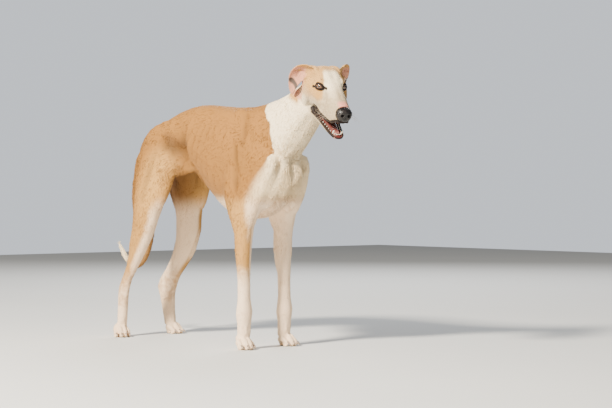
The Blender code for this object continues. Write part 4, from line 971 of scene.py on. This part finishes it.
def tuft_roots(skin, tufts, rng):
    """Where tufts stand on the skin, the way out of it there, and four random draws for each."""
    mesh = skin.data
    count = len(mesh.polygons)
    points, normals = points_of(skin)
    index = np.empty(count * 3, np.int32)
    mesh.polygons.foreach_get("vertices", index)
    index = index.reshape(-1, 3)
    corners = points[index]
    sides = corners[:, 1:] - corners[:, :1]
    areas = np.linalg.norm(np.cross(sides[:, 0], sides[:, 1]), axis=1) / 2
    shares = areas * tuft_needs(corners.mean(axis=1))[0]
    chosen = rng.choice(count, tufts, p=shares / shares.sum())
    a, b = rng.random((2, tufts))
    over = a + b > 1
    a[over], b[over] = 1 - a[over], 1 - b[over]
    shares = np.stack([1 - a - b, a, b], axis=1)[:, :, None]
    root = (corners[chosen] * shares).sum(1)
    up = (normals[index[chosen]] * shares).sum(1)
    up /= np.linalg.norm(up, axis=1)[:, None]
    draws = rng.random((4, tufts))
    keep = ~bare(root, up)
    return root[keep], up[keep], draws[:, keep]


class GREYHOUND_OT_coat(Operator):
    """Lay short tufts over the skin, thicker where the coat breaks the form"""

    bl_idname = "greyhound.coat"
    bl_label = "Coat"

    def execute(self, context):
        settings = context.scene.greyhound_coat
        rng = np.random.default_rng(settings.seed)
        skin = bpy.data.objects["skin"]
        root, up, draws = tuft_roots(skin, settings.tufts, rng)
        along = hair_lie(root, up)
        sway = (draws[0] - 0.5) * 0.5
        across = np.cross(up, along)
        along = along * np.cos(sway)[:, None] + across * np.sin(sway)[:, None]
        across = np.cross(up, along)
        longer, lift = tuft_needs(root)[1:]
        length = settings.length * longer * (0.75 + 0.5 * draws[1])
        width = TUFT_WIDTH * (0.8 + 0.5 * draws[2]) * (0.55 + 0.45 * longer)
        lift = lift * (0.6 + 0.8 * draws[3])
        corners, places, tree = unwrapped(skin)
        nearest = np.array([tree.find_nearest(Vector(p))[2] for p in root])
        place = (places[nearest] * barycentric(root, corners[nearest])[:, :, None]).sum(1)
        place = np.clip(place, TUFT_PATCH, 1 - TUFT_PATCH)
        material = coat_material("coat_finish", hair=False)
        piece = piece_index(root)
        for number, name in enumerate(COAT_PIECES):
            mine = piece == number
            sizes = (length[mine], width[mine], lift[mine])
            tuft_mesh(name, root[mine], along[mine], across[mine], up[mine], sizes, place[mine], material)
        return {"FINISHED"}


def strand(name, points, radii, cyclic=False, sides=8, smooth=3):
    """A round strand along a smooth path, as a closed mesh."""
    curve = bpy.data.curves.new(name, "CURVE")
    curve.dimensions = "3D"
    curve.bevel_depth = 1.0
    curve.bevel_resolution = max(0, sides // 2 - 2)
    curve.resolution_u = smooth
    curve.use_fill_caps = not cyclic
    spline = curve.splines.new("BEZIER")
    spline.bezier_points.add(len(points) - 1)
    for knot, point, radius in zip(spline.bezier_points, points, radii):
        knot.co = point
        knot.radius = radius
        knot.handle_left_type = knot.handle_right_type = "AUTO"
    spline.use_cyclic_u = cyclic
    select_only(linked(name, curve))
    bpy.ops.object.convert(target="MESH")
    obj = bpy.context.object
    edited(obj, MERGE, (bpy.ops.mesh.normals_make_consistent, {"inside": False}))
    return obj


def one_piece(name, objects, slot, material, *nodes):
    """The objects joined into one piece, with its material and the nodes it stands for; its slot is not used.
    """
    select_only(*objects)
    if len(objects) > 1:
        bpy.ops.object.join()
    obj = bpy.context.object
    obj.name = obj.data.name = name
    bpy.ops.object.transform_apply(location=True, rotation=True, scale=True)
    bpy.ops.object.shade_smooth()
    obj.data.materials.clear()
    obj.data.materials.append(material)
    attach(obj, "root")
    if nodes:
        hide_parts(*nodes)
    return obj


# Colours of the eye from its middle outwards, and of the rays in its iris
PUPIL_BLACK = (0.004, 0.003, 0.003)
IRIS_RAY = (0.26, 0.13, 0.06)
IRIS_EDGE = (0.045, 0.020, 0.010)
EYE_WHITE = (0.30, 0.20, 0.15)
EYE_SHADE = (0.16, 0.07, 0.05)


def eye_material(settings):
    """A glossy eye: a black pupil, an amber iris with rays and a dark edge, a brownish white, and painted
    shade at its rim.
    """
    material, shader, place = new_material("eye_finish", specular=0.6, coat=1.0)
    shader.inputs["Coat Roughness"].default_value = 0.02
    mirrored = one_place(*head_wires(place))
    across, above = frame_wires(mirrored, in_head(1, GAZE_YAW, GAZE_PITCH), (1, 2))
    flat = place.node("ShaderNodeCombineXYZ", None, {"X": across, "Y": above})
    reach = flat.length()
    ray = flat.node("ShaderNodeVectorMath", {"operation": "NORMALIZE"}, {0: flat})
    rays = ray.noise(9.0, 4.0, 0.7)
    iris = (rays.ramp(0.35, 0.65) * 0.7).mix(painted(settings.iris), painted(IRIS_RAY))
    iris = reach.ramp(0.0052, 0.0074).mix(iris, painted(IRIS_EDGE))
    colour = reach.ramp(settings.pupil - 0.0002, settings.pupil + 0.0003).mix(painted(PUPIL_BLACK), iris)
    colour = reach.ramp(0.0078, 0.0086).mix(colour, painted(EYE_WHITE))
    # painted shade on the white towards the lids
    colour = reach.ramp(0.0090, 0.0110).mix(colour, painted(EYE_SHADE))
    feed(shader, Base_Color=colour, Roughness=0.12)
    return material


def rim_material(name="dark_rim_finish"):
    """Dark skin with a fine grain."""
    material, shader, place = new_material(name, specular=0.16)
    grain = place.noise(900.0, 3.0)
    colour = grain.ramp(0.4, 0.7).mix(painted(RIM), painted(RIM_GRAIN))
    feed(shader, Base_Color=colour, Roughness=0.46, Normal=bumped(grain, 0.35, 0.0004))
    return material


class GREYHOUND_OT_eyes(Operator):
    """Set each eye with its clear dome, and the dark edges of its lids with the fold at its inner corner"""

    bl_idname = "greyhound.eyes"
    bl_label = "Eyes and lids"

    def execute(self, context):
        settings = context.scene.greyhound_eyes
        material = eye_material(settings)
        rims = []
        for side, left in SIDES.items():
            bpy.ops.object.select_all(action="DESELECT")
            bpy.ops.mesh.primitive_uv_sphere_add(segments=48, ring_count=32, radius=EYE_RADIUS - 0.0001)
            ball = context.object
            points = points_of(ball)[0]
            # the dome swells a little out of the ball, along its own Z before it is turned to its gaze
            flat = np.linalg.norm(points[:, :2], axis=1)
            swell = 0.0007 * smoothed(0.0080 - flat, 0, 0.0080) * (points[:, 2] > 0)
            move_points(ball, points * (1 + swell / EYE_RADIUS)[:, None])
            gaze = HEAD @ in_head(left, GAZE_YAW, GAZE_PITCH) @ Matrix.Rotation(math.pi / 2, 4, "Y")
            ball.data.transform(gaze)
            if left < 0:
                ball.data.flip_normals()
            one_piece("eyeball_" + side, [ball], "amber_eye", material, "eye_" + side)
            upper, lower = (lid_arc(EYE_RADIUS + 0.0007, 9, -57, 118, high, 0.9) for high in (30, -24))
            edge = [HEAD @ in_head(left) @ point for point in upper + lower[-2:0:-1]]
            rims.append(strand("rim", edge, [LID_EDGE] * len(edge), cyclic=True))
            corner = [HEAD @ in_head(left) @ Vector(p) for p in EYE_CORNER]
            rims.append(strand("corner", corner, [0.0012, 0.0014, 0.0006]))
        one_piece("eye_rims", rims, "nose_leather", rim_material())
        return {"FINISHED"}


NOSE_FACES = 24000
NOSE_GRID = 0.0006
# Sculpting of the nose pad, in the head's frame: its middle groove and its wings
NOSE_STROKES = [
    ((0.1470, 0.000, -0.0290), (0.1380, 0.000, -0.0450), 0.0013, -0.0013),
    ((0.1300, 0.013, -0.0130), (0.1420, 0.011, -0.0170), 0.0050, 0.0007),
    ((0.1250, 0.021, -0.0240), (0.1350, 0.019, -0.0240), 0.0040, 0.0007),
]
NOSE_BLACK = (0.006, 0.005, 0.005)
NOSE_GREY = (0.020, 0.015, 0.014)


class GREYHOUND_OT_nose(Operator):
    """Refine the nose pad: its middle groove, its leathery grain and its wings"""

    bl_idname = "greyhound.nose"
    bl_label = "Nose"

    def execute(self, context):
        nose = solid_copy("nose_pad")
        modified(nose, "REMESH", mode="VOXEL", voxel_size=NOSE_GRID)
        modified(nose, "SMOOTH", factor=0.5, iterations=5)
        points, normals = points_of(nose)
        points = sculpted(points, normals, HEAD, NOSE_STROKES)[0]
        move_points(nose, points)
        ratio = min(1, NOSE_FACES / (2 * len(nose.data.polygons)))
        modified(nose, "DECIMATE", ratio=ratio, use_collapse_triangulate=True)
        material, shader, place = new_material("nose_finish", specular=0.42, coat=0.08)
        shader.inputs["Coat Roughness"].default_value = 0.25
        leather = {"Vector": place, "Scale": 640.0}
        cells = place.node("ShaderNodeTexVoronoi", {"feature": "DISTANCE_TO_EDGE"}, leather)
        tone = place.noise(70.0, 3.0).ramp(0.35, 0.70)
        colour = tone.mix(painted(NOSE_BLACK), painted(NOSE_GREY))
        rough = tone.ramp(0.0, 1.0, 0.30, 0.46)
        feed(shader, Base_Color=colour, Roughness=rough, Normal=bumped(cells.ramp(0.0, 0.25), 0.45, 0.0005))
        one_piece("nose_leather", [nose], "nose_leather", material, "nose_pad")
        return {"FINISHED"}


def half_jaw(x):
    """The lower jaw's half width and the height of its rim, in its own frame."""
    stations = (-0.02, 0.02, 0.06, 0.10, 0.122, 0.132)
    halves = np.interp(x, stations, (0.040, 0.032, 0.0260, 0.0210, 0.0165, 0.0085))
    return float(halves), float(np.interp(x, stations, (-0.070, -0.071, -0.065, -0.056, -0.0515, -0.0530)))


def tooth(matrix, base, tip, radius):
    """A slightly bent, tapering tooth."""
    base, tip = Vector(base), Vector(tip)
    middle = base.lerp(tip, 0.55) + Vector((-(tip - base).length * 0.05, 0, 0))
    radii = [radius, radius * 0.80, radius * 0.10]
    return strand("tooth", [matrix @ p for p in (base, middle, tip)], radii)


TONGUE_RED = (0.32, 0.090, 0.078)
TONGUE_PINK = (0.44, 0.170, 0.140)
TONGUE_SHADE = (0.09, 0.024, 0.020)
TOOTH_YELLOW = (0.72, 0.64, 0.50)
TOOTH_WHITE = (0.80, 0.76, 0.66)


def lower_lip():
    """The loose dark edge of the lower lip, in small scallops round the jaw."""
    row, radii = [], []
    for left in (1, -1):
        arm = []
        for x in np.linspace(-0.004, 0.131, 26):
            half, rim = half_jaw(x)
            arm.append(Vector((x, (half - 0.0022) * left, rim - 0.0012)))
        row += arm if left > 0 else arm[::-1]
    for k, point in enumerate(row):
        back = smoothed(np.array(0.095 - point.x), 0, 0.05)
        radii.append(0.0022 + 0.0003 * float(back) * math.sin(2.4 * k))
    radii[0] = radii[-1] = 0.0010
    return strand("lip", [JAW @ point for point in row], radii)


def upper_lip(context):
    """The dark edge of the upper lip, found from below on the head."""
    head = solid_copy("head")
    tree = BVHTree.FromObject(head, context.evaluated_depsgraph_get())
    up = HEAD.to_3x3() @ Vector((0, 0, 1))
    row = []
    for left in (1, -1):
        arm = []
        for x in np.linspace(0.002, 0.122, 18):
            out = float(np.interp(x, (-0.006, 0.118, 0.122), (0.0355, 0.0200, 0.0175))) * left
            hit = tree.ray_cast(HEAD @ Vector((x, out, -0.115)), up, 0.08)[0]
            if hit is not None:
                arm.append(hit + up * 0.0010)
        row += arm if left > 0 else arm[::-1]
    bpy.data.objects.remove(head)
    radii = [0.0020] * len(row)
    radii[0] = radii[-1] = 0.0008
    return strand("lip", row, radii)


def tongue_material():
    """Wet, pink flesh with small buds, and painted shade that darkens it towards the throat."""
    material, shader, place = new_material("tongue_finish", specular=0.5, coat=0.35, subsurface=0.15)
    shader.inputs["Subsurface Radius"].default_value = (0.004, 0.0015, 0.001)
    buds = place.node("ShaderNodeTexVoronoi", None, {"Vector": place, "Scale": 1100.0})
    tone = place.noise(60.0, 3.0)
    colour = tone.ramp(0.3, 0.7).mix(painted(TONGUE_RED), painted(TONGUE_PINK))
    # painted shade deeper in the mouth
    colour = (head_wires(place)[0].ramp(0.118, 0.070) * 0.85).mix(colour, painted(TONGUE_SHADE))
    feed(shader, Base_Color=colour, Roughness=0.32, Normal=bumped(buds, 0.30, 0.0004))
    return material


def lower_teeth():
    """On each side of the lower jaw a long tooth, three small ones before it and five behind."""
    teeth = []
    for left in (1, -1):
        root, tip = (0.1120, 0.0122 * left, -0.0560), (0.1155, 0.0138 * left, -0.0385)
        teeth.append(tooth(JAW, root, tip, 0.0031))
        for k in range(3):
            x, y = 0.1235 - 0.0012 * k * k, (0.0022 + 0.0034 * k) * left
            teeth.append(tooth(JAW, (x - 0.002, y, -0.0565), (x, y, -0.0450), 0.0021))
        for k in range(5):
            x = 0.098 - 0.0125 * k
            half, rim = half_jaw(x)
            y = (half - 0.0062) * left
            teeth.append(tooth(JAW, (x, y, rim - 0.004), (x - 0.001, y, rim + 0.0022), 0.0020))
    return teeth


class GREYHOUND_OT_mouth(Operator):
    """Round the edges of the lips, and set the tongue and the teeth"""

    bl_idname = "greyhound.mouth"
    bl_label = "Mouth"

    def execute(self, context):
        lips = [lower_lip(), upper_lip(context)]
        one_piece("lip_edges", lips, "nose_leather", rim_material("lip_finish"))
        tongue = solid_copy("tongue")
        modified(tongue, "SUBSURF", levels=1, render_levels=1)
        one_piece("tongue_soft", [tongue], "wet_tongue", tongue_material(), "tongue")
        teeth = lower_teeth()
        material, shader, place = new_material("tooth_finish", specular=0.5, coat=0.4, subsurface=0.05)
        tone = place.noise(300.0, 2.0)
        feed(shader, Base_Color=tone.mix(painted(TOOTH_YELLOW), painted(TOOTH_WHITE)), Roughness=0.28)
        one_piece("teeth", teeth, "white_coat", material)
        return {"FINISHED"}


# Middle of each paw's back, its side, its length to the longest toes and how far its toes turn out
PAWS = [
    ((-0.008, -0.085), -1, 0.062, 8),
    ((-0.026, 0.085), 1, 0.062, 8),
    ((-0.614, -0.104), -1, 0.058, 18),
    ((-0.620, 0.090), 1, 0.058, 18),
]
TOE_PITCH = 0.014012
OUTER_TOES_BACK = 0.011
# A claw from its root: how far ahead of its toe, its height and its radius
CLAW = [
    (-0.0060, 0.0135, 0.0030),
    (0.0035, 0.0122, 0.0027),
    (0.0085, 0.0082, 0.0020),
    (0.0109, 0.0036, 0.0006),
]
CLAW_PALE = (0.50, 0.40, 0.30)
CLAW_DARK = (0.26, 0.18, 0.13)


class GREYHOUND_OT_claws(Operator):
    """Set the four claws of each paw"""

    bl_idname = "greyhound.claws"
    bl_label = "Claws"

    def execute(self, context):
        claws = []
        for heel, left, long, toe_out in PAWS:
            turn = Matrix.Rotation(math.radians(toe_out) * left, 4, "Z")
            paw = BODY @ Matrix.Translation((*heel, 0)) @ turn
            for slot in (-1.5, -0.5, 0.5, 1.5):
                reach = long if abs(slot) < 1 else long - OUTER_TOES_BACK
                y = TOE_PITCH * slot
                path = [paw @ Vector((reach + ahead, y, height)) for ahead, height, radius in CLAW]
                claws.append(strand("claw", path, [radius for ahead, height, radius in CLAW]))
        material, shader, place = new_material("claw_finish", specular=0.5, coat=0.3)
        grain = place.noise(1.0, 3.0, 0.6, (90, 900, 900))
        level = (place - BODY.translation).dot((0, 0, 1))
        horn = level.ramp(0.004, 0.013).mix(painted(CLAW_PALE), painted(CLAW_DARK))
        horn = horn.scaled(grain * 0.5 + 0.75)
        feed(shader, Base_Color=horn, Roughness=0.34, Normal=bumped(grain, 0.2, 0.0003))
        one_piece("claws", claws, "nose_leather", material)
        return {"FINISHED"}


# Whiskers, alike on both sides, in the head's frame: root, the way it points and its length
WHISKERS = [
    ((0.060 + 0.013 * (k % 4), 0.034, -0.034 - 0.008 * (k // 4)),
     (-0.25 - 0.10 * (k % 3), 1.0, -0.45 - 0.12 * (k % 2)),
     0.030 + 0.006 * ((k * 5) % 4))
    for k in range(12)
] + [
    ((-0.002 + 0.005 * k, 0.034, 0.020), (0.30, 0.45, 1.0), 0.016 + 0.003 * k) for k in range(3)
] + [
    ((-0.020, 0.056, -0.040), (-0.3, 1.0, -0.5), 0.022),
    ((-0.026, 0.056, -0.046), (-0.4, 1.0, -0.6), 0.019),
    ((0.100, 0.012, -0.094), (0.2, 0.4, -1.0), 0.015),
    ((0.086, 0.014, -0.098), (0.1, 0.5, -1.0), 0.017),
]
WHISKER_RADII = [0.00028, 0.00020, 0.00004]
WHISKER_DARK = (0.30, 0.22, 0.15)
WHISKER_PALE = (0.55, 0.46, 0.36)


class GREYHOUND_OT_whiskers(Operator):
    """Set the fine whiskers of the muzzle, the brows, the cheeks and the chin"""

    bl_idname = "greyhound.whiskers"
    bl_label = "Whiskers"

    def execute(self, context):
        skin = bpy.data.objects["skin"]
        tree = BVHTree.FromObject(skin, context.evaluated_depsgraph_get())
        made = []
        for root, way, length in WHISKERS:
            for left in (1, -1):
                start = tree.find_nearest(HEAD @ Vector((root[0], root[1] * left, root[2])))[0]
                ahead = (HEAD.to_3x3() @ Vector((way[0], way[1] * left, way[2]))).normalized()
                droop = Vector((0, 0, -0.16 * length))
                half, tip = ahead * length * 0.5 + droop * 0.2, ahead * length + droop
                path = [start - ahead * 0.001, start + half, start + tip]
                made.append(strand("whisker", path, WHISKER_RADII, sides=4, smooth=4))
        material, shader, place = new_material("whisker_finish", specular=0.4)
        tone = place.noise(90.0, 2.0)
        feed(shader, Base_Color=tone.mix(painted(WHISKER_DARK), painted(WHISKER_PALE)), Roughness=0.45)
        one_piece("whiskers", made, "nose_leather", material)
        return {"FINISHED"}


# Each light's name, place, size, power in watts and colour, and the place that all of them face
LIGHTS = (
    ("key", (0.9, -4.4, 3.5), 0.7, 1120, (1.0, 0.92, 0.79)),
    ("fill", (4.5, -1.0, 1.6), 2.6, 20, (0.94, 0.97, 1.0)),
    ("back", (-3.0, 3.2, 3.2), 2.5, 200, (0.95, 0.97, 1.0)),
)
AIM = Vector((0, 0, 0.45))
FLOOR_SIZE = 14
CAMERA_AHEAD = Vector((-0.766, 0.643, -math.tan(math.radians(0.44))))
# The wall's colour, and its strength as a light and as the camera sees it
WALL_COLOUR = (0.88, 0.93, 1.0, 1)
WALL_LIGHT = 0.24
WALL_SEEN = 0.90


def looking(way):
    """The rotation of a light or camera that looks along a way."""
    return way.to_track_quat("-Z", "Y").to_euler()


class GREYHOUND_OT_stage(Operator):
    """Lay a pale floor, light it softly and set the camera where the photograph's stood"""

    bl_idname = "greyhound.stage"
    bl_label = "Stage"

    def execute(self, context):
        settings = context.scene.greyhound_stage
        bpy.ops.mesh.primitive_plane_add(size=FLOOR_SIZE, location=(0, 0, 0))
        floor = context.object
        floor.name = "studio_floor"
        edited(floor, (bpy.ops.mesh.subdivide, {"number_cuts": 4}))
        material, shader, place = new_material("studio_floor_finish", specular=0.3)
        cloud = place.noise(1.2, 3.0)
        low = tuple(c * 0.95 for c in settings.floor)
        feed(shader, Base_Color=cloud.mix(painted(low), painted(settings.floor)), Roughness=0.85)
        floor.data.materials.append(material)
        world = bpy.data.worlds.new("studio")
        context.scene.world = world
        world.use_nodes = True
        background = world.node_tree.nodes["Background"]
        background.inputs["Color"].default_value = WALL_COLOUR
        # the camera sees a paler wall than the one that lights the model
        seen = Wire(world.node_tree.nodes.new("ShaderNodeLightPath").outputs["Is Camera Ray"])
        strength = seen * (WALL_SEEN - WALL_LIGHT) + WALL_LIGHT
        world.node_tree.links.new(strength.socket, background.inputs["Strength"])
        for name, place, size, power, colour in LIGHTS:
            bpy.ops.object.light_add(type="AREA", location=place)
            lamp = context.object
            lamp.name = "light_" + name
            lamp.data.size = size
            lamp.data.energy = power
            lamp.data.color = colour
            lamp.rotation_euler = looking(AIM - Vector(place))
        bpy.ops.object.camera_add(location=BODY @ Vector(settings.camera))
        camera = context.object
        camera.name = "camera_photo"
        camera.data.lens = settings.lens
        camera.data.sensor_width = 36
        camera.data.clip_end = 60
        camera.rotation_euler = looking(CAMERA_AHEAD)
        context.scene.camera = camera
        return {"FINISHED"}


class GREYHOUND_PT_panel(Panel):
    """Lists the steps that build the greyhound"""

    bl_idname = "GREYHOUND_PT_panel"
    bl_label = "Greyhound"
    bl_space_type = "VIEW_3D"
    bl_region_type = "UI"
    bl_category = "Greyhound"

    def draw(self, context):
        for step in STEPS:
            self.layout.operator(step.bl_idname)
        for name, group in SETTINGS.items():
            box = self.layout.box()
            for prop in group.__annotations__:
                box.prop(getattr(context.scene, name), prop)


SETTINGS = {
    "greyhound_skin": SkinSettings,
    "greyhound_coat": CoatSettings,
    "greyhound_eyes": EyeSettings,
    "greyhound_stage": StageSettings,
}
STEPS = [
    GREYHOUND_OT_skin,
    GREYHOUND_OT_coat,
    GREYHOUND_OT_eyes,
    GREYHOUND_OT_nose,
    GREYHOUND_OT_mouth,
    GREYHOUND_OT_claws,
    GREYHOUND_OT_whiskers,
    GREYHOUND_OT_stage,
]


def register():
    for group in SETTINGS.values():
        bpy.utils.register_class(group)
    for name, group in SETTINGS.items():
        setattr(bpy.types.Scene, name, PointerProperty(type=group))
    for kind in STEPS + [GREYHOUND_PT_panel]:
        bpy.utils.register_class(kind)


def unregister():
    for kind in reversed(STEPS + [GREYHOUND_PT_panel]):
        bpy.utils.unregister_class(kind)
    for name in SETTINGS:
        delattr(bpy.types.Scene, name)
    for group in reversed(list(SETTINGS.values())):
        bpy.utils.unregister_class(group)


def main():
    register()
    for step in STEPS:
        namespace, name = step.bl_idname.split(".")
        getattr(getattr(bpy.ops, namespace), name)()


if __name__ == "__main__":
    main()
